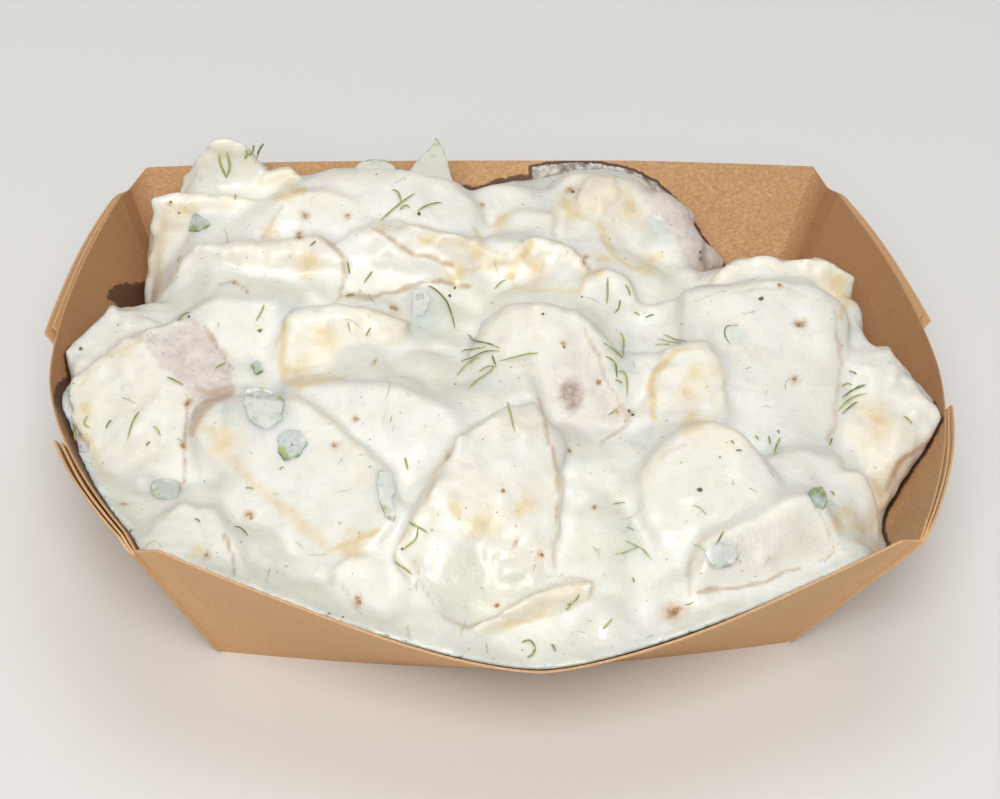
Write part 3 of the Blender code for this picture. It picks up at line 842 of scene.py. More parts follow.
def capBelow(piece):
    # carries the open lower edge down along the board, and closes it with one flat face
    bm = bmesh.new()
    bm.from_mesh(piece.data)
    edges = [edge for edge in bm.edges if edge.is_boundary]
    grown = bmesh.ops.extrude_edge_only(bm, edges=edges)["geom"]
    bottom = [item for item in grown if isinstance(item, bmesh.types.BMEdge)]
    ring = [item for item in grown if isinstance(item, bmesh.types.BMVert)]
    spots = np.array([vert.co for vert in ring]) / mm - [0, trayShift, 0]
    spots[:, 2] = heap["foot"]
    # the largest share of the way out from the middle that is clear of the board, by halving
    low, high = np.full(len(spots), 0.5), np.ones(len(spots))
    for _ in range(12):
        share = (low + high) / 2
        clear = cavityField(spots * np.stack([share, share, np.ones_like(share)], -1)) < -heap["clear"]
        low, high = np.where(clear, share, low), np.where(clear, high, share)
    for vert, spot, share in zip(ring, spots, low):
        vert.co = Vector((spot[0] * share, spot[1] * share + trayShift, spot[2])) * mm
    bmesh.ops.contextual_create(bm, geom=bottom)
    bmesh.ops.recalc_face_normals(bm, faces=bm.faces)
    bm.to_mesh(piece.data)
    bm.free()
    piece.data.shade_smooth()


def coveredBits():
    # the middle and the half sizes of each small piece under the dressing
    found = []
    kind = heap["bits"]
    while len(found) < kind["count"]:
        x, y = rng.uniform(*kind["across"]), rng.uniform(*kind["up"])
        size = rng.uniform(*kind["size"])
        size = size * np.array([1, rng.uniform(*kind["width"]), rng.uniform(*kind["height"])])
        z = float(moundHeight(np.array([x]), np.array([y]))[0]) - size[2] + rng.uniform(*kind["deep"])
        middle = np.array([x, y, z])
        if cavityField(middle[None])[0] < -size[0] - kind["margin"]:
            found.append((middle, size))
    return [row for row in found if np.hypot(*(row[0] - smoothArea["spot"])[:2]) > smoothArea["radius"]]


chunkRows = [shapeChunk(name, row) for name, row in potatoes.items()]
fillGrid = fillLevels()
bits = coveredBits()
step = heap["step"]
left, front, right, back = heap["sides"]
low = np.array([-left, -front, heap["bottom"]])
high = np.array([right, back, heap["top"]])
heapPoints, heapFaces = skinField(*heapGrid(low, high, step))
heapPoints = settle(heapPoints)
print("heap skinned:", len(heapPoints), "points", len(heapFaces), "faces")

salad = meshPiece("saladHeap", heapPoints, heapFaces)
capBelow(salad)
print("heap closed:", sum(len(face.vertices) - 2 for face in salad.data.polygons), "triangles")


def pixelOf(points):
    # where points are seen in the frame
    width, height = shot["frame"]
    focal = shot["lens"] / shot["sensor"] * width
    turn = np.array(camera.matrix_world.to_3x3())
    local = (np.asarray(points) - cameraSpot) @ turn
    across = width / 2 - focal * local[:, 0] / local[:, 2]
    down = height / 2 + focal * local[:, 1] / local[:, 2]
    return np.stack([across, down], -1)


def ownPoints(piece):
    flat = np.empty(len(piece.data.vertices) * 3, np.float32)
    piece.data.vertices.foreach_get("co", flat)
    return flat.reshape(-1, 3).astype(float) / mm - [0, trayShift, 0]


def nearSpots(seen, spots):
    # 1 in the middle of the nearest spot, 0 from its rim on; a spot is (across, down, radius)
    best = np.zeros(len(seen))
    for across, down, radius in spots:
        best = np.maximum(best, 1 - np.hypot(seen[:, 0] - across, seen[:, 1] - down) / radius)
    return best


def polygonGap(seen, outline):
    # signed distance in pixels to an outline, negative inside
    inside = np.zeros(len(seen), bool)
    near = np.full(len(seen), 1e9)
    for (x1, y1), (x2, y2) in zip(outline, outline[1:] + outline[:1]):
        near = np.minimum(near, strokeGap(seen, [(x1, y1), (x2, y2)]))
        crosses = ((y1 > seen[:, 1]) != (y2 > seen[:, 1]))
        with np.errstate(divide="ignore", invalid="ignore"):
            inside ^= crosses & (seen[:, 0] < x1 + (seen[:, 1] - y1) / (y2 - y1) * (x2 - x1))
    return np.where(inside, -near, near)


def strokeGap(seen, line):
    # distance in pixels to a line of points
    near = np.full(len(seen), 1e9)
    for (x1, y1), (x2, y2) in zip(line, line[1:]):
        along = np.array([x2 - x1, y2 - y1], float)
        reach = seen - [x1, y1]
        share = np.clip(reach @ along / (along @ along), 0, 1)
        near = np.minimum(near, np.linalg.norm(reach - share[:, None] * along, axis=1))
    return near


# Spots in the frame: (pixel across, pixel down, radius in pixels).
spots = {
    "rust": [
        (392, 308, 10), (358, 419, 9), (334, 447, 9), (376, 362, 6), (798, 325, 9), (779, 285, 7),
        (542, 555, 9), (676, 611, 22), (251, 518, 11), (360, 602, 11), (594, 507, 7), (600, 552, 6),
        (253, 410, 6), (184, 445, 8), (122, 503, 9), (795, 380, 9), (617, 408, 9), (599, 382, 7),
        (564, 347, 7), (516, 545, 7), (496, 606, 7), (480, 205, 7), (585, 260, 8), (347, 218, 8),
        (305, 218, 12), (300, 235, 9), (171, 202, 6), (448, 455, 6), (232, 284, 7), (246, 291, 6),
        (206, 554, 10), (630, 412, 6), (569, 451, 7), (190, 405, 9), (572, 192, 7),
    ],
    "gold": [
        (519, 508, 20), (455, 504, 18), (478, 520, 26), (475, 248, 20), (430, 241, 16), (575, 212, 22),
        (876, 420, 30), (190, 548, 18), (841, 292, 26), (292, 188, 18), (186, 212, 20), (700, 375, 26),
        (686, 398, 20), (628, 205, 22), (540, 268, 24), (640, 262, 22), (845, 522, 20), (700, 425, 24),
        (380, 228, 18), (270, 236, 16), (315, 270, 22), (90, 410, 20), (222, 430, 26), (300, 375, 24),
        (320, 340, 30), (455, 270, 22), (600, 262, 18), (355, 545, 18), (505, 225, 20), (612, 186, 9),
        (585, 215, 14),
    ],
    "pit": [(571, 392, 17), (570, 385, 13), (573, 402, 14)],
}

# Lines in the frame where an edge of a piece shows through: points, width in pixels, strength. The tan lines
# are partly the pieces' edge colour and partly painted shade along their lower edges and in the grooves
# beside them.
strokes = {
    "gold": [
        ([(166, 208), (160, 250), (156, 292)], 12, 0.5),
        ([(274, 198), (292, 195), (304, 188)], 9, 0.8),
        ([(286, 322), (283, 350), (284, 380)], 9, 0.7),
        ([(283, 382), (310, 384), (345, 376)], 10, 0.7),
        ([(508, 278), (514, 262), (532, 244)], 9, 0.9),
        ([(513, 284), (545, 291), (578, 292), (590, 270)], 7, 0.6),
        ([(455, 272), (480, 270), (504, 262)], 7, 0.6),
        ([(602, 225), (612, 252), (632, 268), (662, 258)], 10, 0.65),
        ([(652, 418), (652, 390), (660, 366), (674, 353)], 9, 0.85),
        ([(674, 353), (700, 345)], 6, 0.5),
        ([(840, 280), (846, 300), (840, 318)], 9, 0.8),
        ([(680, 428), (702, 420), (718, 416)], 8, 0.5),
        ([(204, 425), (230, 455), (262, 492), (300, 524), (335, 552)], 16, 0.5),
        ([(335, 548), (358, 540), (378, 530)], 6, 0.9),
        ([(448, 450), (432, 480), (424, 510), (404, 540)], 11, 0.4),
        ([(76, 415), (92, 450), (108, 478)], 12, 0.5),
        ([(72, 395), (90, 372), (118, 352), (140, 338)], 6, 0.5),
        ([(500, 628), (530, 620), (545, 610)], 7, 0.55),
        ([(872, 478), (880, 505), (868, 530), (852, 528)], 8, 0.55),
    ],
    "tan": [
        ([(372, 228), (392, 242), (420, 257), (452, 265)], 6, 0.9),
        ([(343, 297), (372, 299), (392, 294), (410, 287), (440, 280), (470, 285)], 5.5, 1.0),
        ([(336, 300), (345, 272), (340, 252), (322, 240)], 5, 0.7),
        ([(262, 240), (272, 224), (284, 206)], 7, 0.5),
        ([(205, 327), (218, 345), (232, 370)], 5, 0.8),
        ([(230, 394), (212, 402), (200, 414), (193, 432)], 9, 0.9),
        ([(197, 388), (212, 394), (228, 388)], 10, 0.8),
        ([(192, 400), (187, 430), (184, 460), (182, 492)], 5, 0.8),
        ([(585, 330), (600, 362), (616, 392), (628, 420), (615, 436), (600, 442)], 6, 0.6),
        ([(690, 301), (714, 293), (742, 289), (790, 289)], 4, 0.5),
        ([(832, 312), (838, 350), (836, 400), (830, 440)], 7, 0.6),
        ([(538, 400), (548, 430), (557, 470), (557, 500), (554, 522)], 4.5, 0.8),
        ([(415, 560), (425, 590), (444, 618), (470, 628), (478, 620)], 6, 0.55),
        ([(660, 462), (672, 450), (690, 444)], 5, 0.5),
        ([(700, 592), (730, 587), (762, 583), (802, 571)], 5, 0.9),
        ([(692, 560), (690, 590), (690, 622)], 8, 0.5),
        ([(812, 500), (828, 525), (834, 550), (818, 562)], 5, 0.6),
        ([(548, 577), (575, 576), (592, 580)], 5, 0.5),
        ([(938, 433), (922, 446), (902, 460), (893, 478)], 7, 1.0),
        ([(893, 478), (878, 500)], 6, 0.6),
        ([(226, 535), (234, 555), (234, 578)], 5, 0.9),
        ([(340, 585), (350, 600), (366, 618)], 6, 0.5),
        ([(218, 286), (230, 281), (246, 291)], 4.5, 0.7),
        ([(150, 205), (152, 240), (146, 290)], 5, 0.5),
        ([(183, 196), (193, 175), (206, 153)], 4, 0.4),
        ([(706, 262), (722, 268)], 5, 0.5),
    ],
}

# Stretches of potato skin: outline in the frame, how soft its edge is in pixels, strength.
skins = [
    ([(141, 337), (165, 328), (192, 323), (207, 330), (229, 363), (232, 402), (205, 408), (184, 392),
      (160, 366)], 5, 0.9),
    ([(190, 385), (205, 380), (210, 408), (192, 412)], 8, 0.5),
    ([(560, 338), (584, 330), (606, 362), (628, 400), (632, 420), (606, 440), (566, 452), (545, 430),
      (536, 392)], 22, 0.42),
    ([(640, 176), (672, 188), (702, 222), (724, 270), (694, 280), (672, 240), (652, 215)], 10, 0.85),
    ([(560, 196), (575, 186), (590, 192), (580, 205)], 8, 0.3),
    ([(108, 452), (140, 470), (165, 500), (150, 515), (118, 492)], 16, 0.35),
    ([(700, 560), (760, 520), (810, 505), (826, 548), (770, 580), (706, 588)], 18, 0.4),
]

# Slices of onion that only tint the dressing over them, in the same way.
washes = [
    ([(646, 216), (662, 214), (674, 228), (676, 246), (656, 248), (645, 238)], 6, 0.7),
    ([(723, 328), (738, 325), (750, 333), (745, 347), (728, 345)], 5, 0.7),
    ([(405, 296), (420, 288), (436, 292), (452, 318), (448, 340), (424, 345), (404, 336)], 13, 0.6),
    ([(222, 404), (246, 398), (252, 416), (234, 426), (214, 420)], 6, 0.7),
    ([(278, 298), (298, 300), (304, 310), (288, 322), (270, 318)], 7, 0.6),
    ([(756, 430), (780, 436), (784, 456), (764, 464), (752, 446)], 7, 0.5),
    ([(632, 424), (650, 420), (660, 436), (648, 452), (632, 446)], 7, 0.6),
    ([(560, 452), (582, 448), (596, 462), (578, 476), (560, 468)], 8, 0.5),
    ([(366, 462), (396, 470), (400, 500), (394, 520), (374, 500)], 9, 0.6),
    ([(240, 378), (290, 384), (296, 420), (270, 438), (240, 420)], 8, 0.5),
    ([(706, 542), (730, 540), (740, 558), (724, 568), (706, 564)], 5, 0.4),
    ([(612, 320), (634, 326), (640, 380), (620, 396), (606, 350)], 9, 0.5),
    ([(596, 500), (640, 506), (652, 560), (620, 570), (594, 540)], 14, 0.35),
    ([(150, 482), (182, 480), (184, 500), (156, 502)], 7, 0.5),
    ([(470, 360), (500, 366), (490, 396), (462, 388)], 9, 0.35),
]

# Painted shade: where the dressing is painted a little darker, in the same way.
shadedParts = [
    ([(120, 520), (330, 590), (480, 650), (560, 660), (700, 630), (880, 550), (860, 610), (540, 700),
      (110, 560)], 45, 0.8),
    ([(690, 560), (760, 515), (815, 500), (835, 555), (780, 585), (694, 596)], 14, 0.5),
    ([(420, 560), (470, 545), (520, 560), (560, 600), (500, 630), (440, 620)], 30, 0.9),
    ([(200, 460), (260, 490), (320, 560), (240, 570), (190, 520)], 30, 0.5),
    ([(640, 480), (700, 440), (760, 470), (740, 520), (660, 540)], 30, 0.5),
]


def hollowDepth(piece, rounds):
    # how far each point lies under the smoothed surface round it, in millimetres
    mesh = piece.data
    count = len(mesh.vertices)
    pairs = np.empty(len(mesh.edges) * 2, np.int32)
    mesh.edges.foreach_get("vertices", pairs)
    near, far = pairs.reshape(-1, 2).T
    links = np.bincount(near, minlength=count) + np.bincount(far, minlength=count)
    start = ownPoints(piece)
    smoothed = start
    for _ in range(rounds):
        total = np.zeros((3, count))
        for here, there in ((near, far), (far, near)):
            total += [np.bincount(here, row[there], count) for row in smoothed.T]
        smoothed = total.T / links[:, None]
    normals = np.empty(count * 3, np.float32)
    mesh.vertex_normals.foreach_get("vector", normals)
    return ((smoothed - start) * normals.reshape(-1, 3)).sum(-1)


# Painted edges wander by some pixels: the size and shift of the broad and of the fine waves, each
# across and down, and how far they move areas, lines and the golden spots.
wandering = {
    "waves": ((5.0, 0.4), (5.0, 3.1), (2.2, 1.7), (2.2, 6.3)),
    "areas": (5, 2.5),
    "lines": (3.5, 1.5),
    "gold": 8,
}


def paintSalad():
    points = ownPoints(salad)
    paint(salad, "hollow", hollowDepth(salad, heap["smoothing"]))
    seen = pixelOf(points)
    wander = np.stack([lumps(points, size, shift) for size, shift in wandering["waves"]], -1)
    (areaBroad, areaFine), (lineBroad, lineFine) = wandering["areas"], wandering["lines"]
    steady = seen + lineBroad * wander[:, :2] + lineFine * wander[:, 2:]
    seen = seen + areaBroad * wander[:, :2] + areaFine * wander[:, 2:]
    field, gap, nearest, edge = contents(points, detail=True)
    yellow = np.array([potatoes[chunk["name"]]["yellow"] for chunk in chunkRows] + [0.0])[nearest]
    for name, rows in (("skin", skins), ("wash", washes), ("thick", shadedParts)):
        share = np.zeros(len(points))
        for outline, soft, strength in rows:
            share = np.maximum(share, strength * smoothstep(soft, -soft, polygonGap(seen, outline)))
        paint(salad, name, share)
    paint(salad, "gap", gap)
    paint(salad, "edge", edge)
    paint(salad, "yellow", yellow)
    for name in ("rust", "pit"):
        paint(salad, name, nearSpots(seen, spots[name]))
    for name, rows in strokes.items():
        strength = nearSpots(seen + wandering["gold"] * wander[:, :2], spots.get(name, [])) * 0.8
        for line, width, most in rows:
            share = np.clip(1.2 - strokeGap(steady, line) / width * 1.6, 0, 1)
            strength = np.maximum(strength, most * share)
        paint(salad, name, strength)


# The colours are as seen on screen, brighter than what the food itself reflects, so they are multiplied by a
# tone. In the hollows the tone is higher: painted light that takes out the shade falling in the grooves.
saladTone = 0.79
grooveLightTone = 0.92
saladHues = {
    "dressing": rgb(249, 247, 238),
    "dressingPale": rgb(252, 251, 246),
    "dressingDeep": rgb(242, 241, 224),
    "streak": rgb(235, 237, 225),
    "flesh": rgb(253, 245, 222),
    "fleshDark": rgb(249, 236, 205),
    # thick: the colour of the painted shade on the dressing
    "thick": rgb(231, 229, 212),
    "ridge": rgb(238, 216, 172),
    "skin": rgb(238, 228, 221),
    "skinDark": rgb(220, 207, 200),
    "gold": rgb(240, 216, 160),
    "tan": rgb(208, 180, 150),
    "rust": rgb(214, 176, 124),
    "rustDark": rgb(160, 110, 66),
    "eye": rgb(190, 168, 150),
    "eyeDark": rgb(150, 126, 104),
    "wash": rgb(213, 223, 216),
    "fleck": rgb(196, 208, 194),
    "dot": rgb(180, 170, 140),
    "dust": rgb(176, 178, 158),
}


def saladFinish():
    finish = Finish("dressedPotato", Subsurface_Weight=0.75, Subsurface_Scale=0.005, Coat_Roughness=0.2)
    finish.surface.inputs["Subsurface Radius"].default_value = (1.0, 0.8, 0.55)
    broad = finish.noise(55, 3)
    patch = finish.noise(170, 4, 0.6)
    grain = finish.noise(1100, 3, 0.6)
    crumb = finish.noise(480, 4, 0.65)
    gap, edge = finish.attribute("gap"), finish.attribute("edge")
    yellow, skin = finish.attribute("yellow"), finish.attribute("skin")
    # the dressing: warm white, a little grey-green where it lies deep, and half clear in streaks
    deep = (gap + (patch - 0.5) * 3).above(0.8, 5.5)
    dressing = finish.mix(patch.above(0.35, 0.65), saladHues["dressing"], saladHues["dressingPale"])
    dressing = finish.mix(deep * broad.above(0.3, 0.6) * 0.8, dressing, saladHues["dressingDeep"])
    streak = finish.noise(120, 4, 0.65, stretch=(1, 1.8, 1)).above(0.52, 0.72)
    dressing = finish.mix(streak * 0.6, dressing, saladHues["streak"])
    # the potato shows through where its coat is thin
    thin = finish.noise(90, 3, 0.6).above(0.38, 0.58)
    bare = (1 - (gap + (crumb - 0.5) * 3.6).above(-0.8, 2.4)) * (0.3 + yellow * 0.7) * (0.3 + thin * 0.7)
    flesh = finish.mix(grain.above(0.3, 0.7) * 0.5, saladHues["flesh"], saladHues["fleshDark"])
    colour = finish.mix(bare, dressing, flesh)
    # painted shade: the dressing is painted darker on the parts listed for it
    thick = (finish.attribute("thick") + (patch - 0.5) * 0.6).above(0.05, 0.95)
    colour = finish.mix(thick * 0.8, colour, saladHues["thick"])
    # edges of the pieces are more yellow
    ridge = (1 - (edge + (crumb - 0.5) * 2.4).above(0.1, 1.7)) * (1 - gap.above(0.4, 1.4))
    colour = finish.mix(ridge * (0.06 + yellow * 0.3) * broad.above(0.3, 0.6), colour, saladHues["ridge"])
    mottle = finish.noise(420, 4, 0.7).above(0.35, 0.7)
    hide = finish.mix(mottle, saladHues["skin"], saladHues["skinDark"])
    colour = finish.mix((skin + (crumb - 0.5) * 0.3 * skin).above(0.05, 0.85) * 0.95, colour, hide)
    # gold edges, and tan edges that are partly painted shade in the grooves, broken up by the dressing
    gold = finish.attribute("gold") * (0.55 + crumb * 0.9)
    colour = finish.mix(gold.above(0.05, 0.95) * (0.55 + patch * 0.6), colour, saladHues["gold"])
    tan = finish.attribute("tan") * (0.2 + crumb * 0.8 + patch * 0.8)
    colour = finish.mix(tan.above(0.1, 1.0) * 0.8, colour, saladHues["tan"])
    rust = finish.attribute("rust") + (grain - 0.5) * 0.5
    colour = finish.mix(rust.above(0.1, 0.9) * 0.6, colour, saladHues["rust"])
    colour = finish.mix(rust.above(0.58, 0.95) * 0.85, colour, saladHues["rustDark"])
    pit = finish.attribute("pit") + (crumb - 0.5) * 1.1
    colour = finish.mix(pit.above(0.0, 0.8) * 0.7, colour, saladHues["eye"])
    colour = finish.mix(pit.above(0.45, 0.95) * grain.above(0.35, 0.6) * 0.6, colour, saladHues["eyeDark"])
    # flecks under the dressing
    wash = (finish.attribute("wash") + (crumb - 0.5) * 0.5).above(0.1, 0.8)
    colour = finish.mix(wash * 0.6, colour, saladHues["wash"])
    flecks = finish.noise(330, 3, 0.6, stretch=(1, 0.35, 1)).above(0.66, 0.74) * broad.above(0.45, 0.6)
    colour = finish.mix(flecks * 0.4, colour, saladHues["fleck"])
    dots = finish.noise(620, 1).above(0.75, 0.79)
    colour = finish.mix(dots * 0.5, colour, saladHues["dot"])
    dust = finish.noise(1500, 2, 0.7).above(0.7, 0.76) * broad.above(0.4, 0.6)
    colour = finish.mix(dust * 0.45, colour, saladHues["dust"])
    # painted light: the colour is brighter in the hollows, against the shade in the grooves
    tone = finish.mix(finish.attribute("hollow").above(0.15, 2.0), (saladTone,) * 3, (grooveLightTone,) * 3)
    colour = finish.mix(1.0, colour, tone, "MULTIPLY")
    rough = (bare + skin * 0.4).between(0.36, 0.6)
    relief = crumb * 0.9 + grain * 0.35 + patch * 0.8 + mottle * skin * 0.4
    return finish.feed(
        Base_Color=colour,
        Roughness=rough,
        Coat_Weight=(1 - bare) * 0.3,
        Normal=finish.bump(relief, 0.4, 0.0006),
    )


paintSalad()
salad.data.materials.append(saladFinish())
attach(salad, body)
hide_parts("potato_salad")


# What lies on the heap: leaves, slices and grains, each put where the frame shows it.

heapTree = BVHTree.FromPolygons(heapPoints.tolist(), heapFaces.tolist())


def onHeap(pixel):
    # the spot of the heap that is seen at a pixel, and which way it faces; None beside the heap
    spot, normal, _, _ = heapTree.ray_cast(Vector(cameraSpot), pixelRay(pixel))
    if spot is None:
        return None
    spot, normal = np.array(spot), np.array(normal)
    return spot, normal * np.sign(normal @ (cameraSpot - spot))


def besideSpot(pixel, base):
    # the point seen at a pixel on the upright plane through a spot, square to the view
    ray = np.array(pixelRay(pixel))
    facing = np.array([ray[0], ray[1], 0])
    return cameraSpot + ray * ((base - cameraSpot) @ facing) / (ray @ facing)


def smoothLine(points, steps, closed=False):
    # a curve through the points
    points = [np.array(point, float) for point in points]
    count = len(points)
    spans = count if closed else count - 1
    line = []
    for k in range(spans * steps + (0 if closed else 1)):
        i, t = divmod(k / steps, 1)
        i = int(i)
        pick = [(i + d) % count if closed else min(max(i + d, 0), count - 1) for d in (-1, 0, 1, 2)]
        a, b, c, d = (points[j] for j in pick)
        square, cube = 2 * a - 5 * b + 4 * c - d, 3 * b - 3 * c + d - a
        line.append(0.5 * (2 * b + (c - a) * t + square * t**2 + cube * t**3))
    return np.array(line)


heapTop = 62  # the height of a leaf's tip that stands free of the heap
# which way up is, beside the heap: on a leaf and on a slice of onion
leafUp = (0, -0.5, 0.8)
sliceUp = (0, -0.6, 0.8)


def restLine(pixels):
    # a line of the frame laid on the heap: points and the way up, smoothed along the line
    spots, ups = [], []
    for pixel in pixels:
        hit = onHeap(pixel)
        if hit is None and spots:
            hit = (besideSpot(pixel, spots[-1]), ups[-1])
        elif hit is None:
            hit = (sceneSpot(*pixel, heapTop), np.array(leafUp))
        spots.append(hit[0])
        ups.append(hit[1])
    spots, ups = np.array(spots), np.array(ups)
    for _ in range(2):
        ups[1:-1] = (ups[:-2] + ups[1:-1] * 2 + ups[2:]) / 4
        spots[1:-1] = (spots[:-2] + spots[1:-1] * 2 + spots[2:]) / 4
    return spots, ups / np.linalg.norm(ups, axis=1, keepdims=True)


class Bunch:
    # many small shapes that become one mesh, with values painted on their points
    def __init__(self, *names):
        self.points, self.faces, self.values = [], [], {name: [] for name in names}
        self.count = 0

    def add(self, points, faces, **values):
        self.points.append(np.asarray(points, float))
        self.faces += [tuple(index + self.count for index in face) for face in faces]
        self.count += len(points)
        for name, value in values.items():
            self.values[name].append(np.broadcast_to(value, len(points)).astype(float))

    def piece(self, name, slot, finish):
        made = meshPiece(name, np.concatenate(self.points), self.faces)
        for key, values in self.values.items():
            paint(made, key, np.concatenate(values))
        made.data.materials.append(finish)
        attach(made, body)
        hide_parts("potato_salad")
        print(name, "has", sum(len(face.vertices) - 2 for face in made.data.polygons), "triangles")
        return made


def tubeAlong(path, ups, radii, sides=6, flat=0.8):
    # a closed tube round a path, flattened a little from above
    points, faces = [], []
    ahead = np.gradient(path, axis=0)
    ahead /= np.linalg.norm(ahead, axis=1, keepdims=True) + 1e-9
    across = np.cross(ahead, ups)
    across /= np.linalg.norm(across, axis=1, keepdims=True) + 1e-9
    over = np.cross(across, ahead)
    for k in range(sides):
        angle = 2 * math.pi * k / sides
        ring = across * math.cos(angle) + over * math.sin(angle) * flat
        points.append(path + ring * radii[:, None])
    points = np.stack(points, 1).reshape(-1, 3)
    for i in range(len(path) - 1):
        for k in range(sides):
            a, b = i * sides + k, i * sides + (k + 1) % sides
            faces.append((a, b, b + sides, a + sides))
    last = (len(path) - 1) * sides
    faces.append(tuple(range(sides))[::-1])
    faces.append(tuple(last + k for k in range(sides)))
    return points, faces


# Dill leaves: thickness and lift in millimetres, how far the dressing coats them (0 to 1), and
# their lines in the frame. The crumbs of leaf are strewn at random.
dillCrumbs = {
    "count": 70,
    "across": (75, 925),
    "down": (175, 655),
    "length": (3, 9),
    "bend": 0.3,
    "thickness": (0.12, 0.2),
    "lift": 0.05,
    "coat": (0.5, 1.0),
}
leafShape = {
    "radius": 0.62,  # of the thickness given
    "steps": 5,  # of the curve from one point in the frame to the next
    # the leaf is a part of a sine's arch, from here on and this long, so much fuller, with a blunt tip
    "taper": {"start": 0.12, "span": 0.8, "fuller": 1.25, "tip": 0.3},
    "sunk": 0.55,  # of its radius, that it lies above the heap
    "arch": 0.8,  # how square the arch is in which it lifts
    "wave": (0.12, 2.4),
}
dill = {
    "backLeft": (0.42, 0.9, 0.0, [
        [(219, 153), (222, 165), (226, 178)], [(227, 151), (230, 162), (226, 178)],
        [(246, 149), (245, 157)], [(254, 146), (251, 151), (248, 154)],
        [(264, 144), (260, 150), (256, 158)],
    ]),
    "topMiddle": (0.32, 0.5, 0.1, [
        [(380, 221), (398, 206), (415, 194)], [(392, 190), (399, 195), (401, 203)],
        [(418, 211), (428, 206), (442, 203)], [(400, 210), (406, 206), (410, 208)],
    ]),
    "longCurve": (0.36, 0.6, 0.05, [[(428, 286), (440, 296), (449, 310), (455, 329)]]),
    "frond": (0.3, 0.5, 0.1, [
        [(538, 353), (524, 356), (510, 360), (500, 361)],
        [(468, 335), (474, 341), (488, 344), (500, 348)],
        [(461, 362), (474, 359), (485, 353), (500, 351)], [(457, 376), (463, 371), (470, 363)],
        [(480, 372), (488, 368), (496, 367)], [(469, 389), (478, 382), (490, 374), (494, 366)],
        [(492, 356), (496, 366)], [(470, 364), (480, 358)], [(462, 352), (476, 350), (486, 347)],
        [(508, 402), (510, 416), (515, 432)],
    ]),
    "middleRight": (0.32, 0.6, 0.1, [
        [(608, 278), (607, 291), (606, 304)], [(620, 300), (617, 307), (614, 313)],
        [(625, 285), (630, 296)], [(634, 312), (639, 316)], [(645, 318), (654, 315)],
        [(620, 333), (623, 344), (622, 358)], [(604, 344), (612, 352), (622, 359)],
        [(606, 357), (614, 364), (617, 378)], [(618, 372), (625, 376), (627, 397)],
        [(615, 380), (622, 384)],
    ]),
    "fadedRight": (0.24, 0.2, 0.45, [
        [(657, 339), (668, 342), (682, 344)], [(664, 335), (676, 340), (687, 342)],
        [(655, 345), (672, 345)], [(738, 325), (726, 327), (725, 336), (730, 345)],
        [(612, 505), (625, 502)], [(626, 541), (634, 545), (641, 549)],
        [(615, 554), (628, 551), (641, 546)], [(641, 548), (652, 560)], [(625, 527), (634, 530)],
    ]),
    "rightTip": (0.3, 0.4, 0.15, [
        [(849, 371), (857, 374)], [(841, 387), (846, 384), (852, 385)],
        [(842, 397), (852, 391), (864, 386)], [(838, 411), (846, 402), (856, 397), (868, 394)],
        [(842, 414), (850, 407), (858, 402)], [(904, 417), (912, 425)], [(855, 388), (866, 385)],
    ]),
    "rightLower": (0.3, 0.3, 0.2, [
        [(755, 436), (759, 440)], [(769, 436), (770, 445)], [(780, 438), (777, 447), (774, 455)],
        [(778, 431), (779, 434)], [(832, 438), (829, 446)], [(736, 451), (742, 451)],
        [(731, 441), (734, 444)], [(724, 532), (720, 538), (716, 545)], [(632, 578), (634, 583)],
        [(603, 629), (607, 625), (612, 619)], [(830, 492), (834, 496)],
    ]),
    "frontMiddle": (0.32, 0.4, 0.15, [
        [(409, 522), (418, 527), (427, 533)], [(418, 527), (415, 540), (402, 550)],
        [(395, 561), (404, 567), (412, 575)], [(579, 594), (574, 601), (567, 605)],
        [(571, 604), (566, 610)], [(522, 643), (530, 641), (535, 648)],
        [(535, 648), (532, 656), (527, 658)], [(552, 645), (556, 652)], [(405, 458), (408, 470)],
    ]),
    "left": (0.3, 0.4, 0.1, [
        [(178, 321), (184, 317), (191, 312)], [(264, 305), (261, 313), (256, 321)],
        [(257, 331), (263, 330)], [(236, 195), (235, 200)], [(346, 297), (354, 295)],
        [(316, 241), (310, 246)], [(181, 257), (179, 263)], [(366, 336), (371, 327)],
        [(372, 272), (364, 283)], [(347, 262), (349, 274)], [(167, 377), (175, 382), (183, 385)],
        [(215, 369), (225, 364)], [(506, 280), (500, 284), (495, 289)],
        [(153, 427), (157, 431), (161, 436)], [(146, 446), (150, 442)],
        [(74, 424), (75, 434), (76, 444)], [(88, 416), (84, 424), (90, 428)],
        [(140, 412), (134, 422), (128, 440)], [(112, 421), (106, 429)], [(246, 488), (254, 489)],
        [(234, 527), (240, 530), (248, 536)], [(195, 519), (200, 522)], [(280, 470), (284, 468)],
    ]),
}

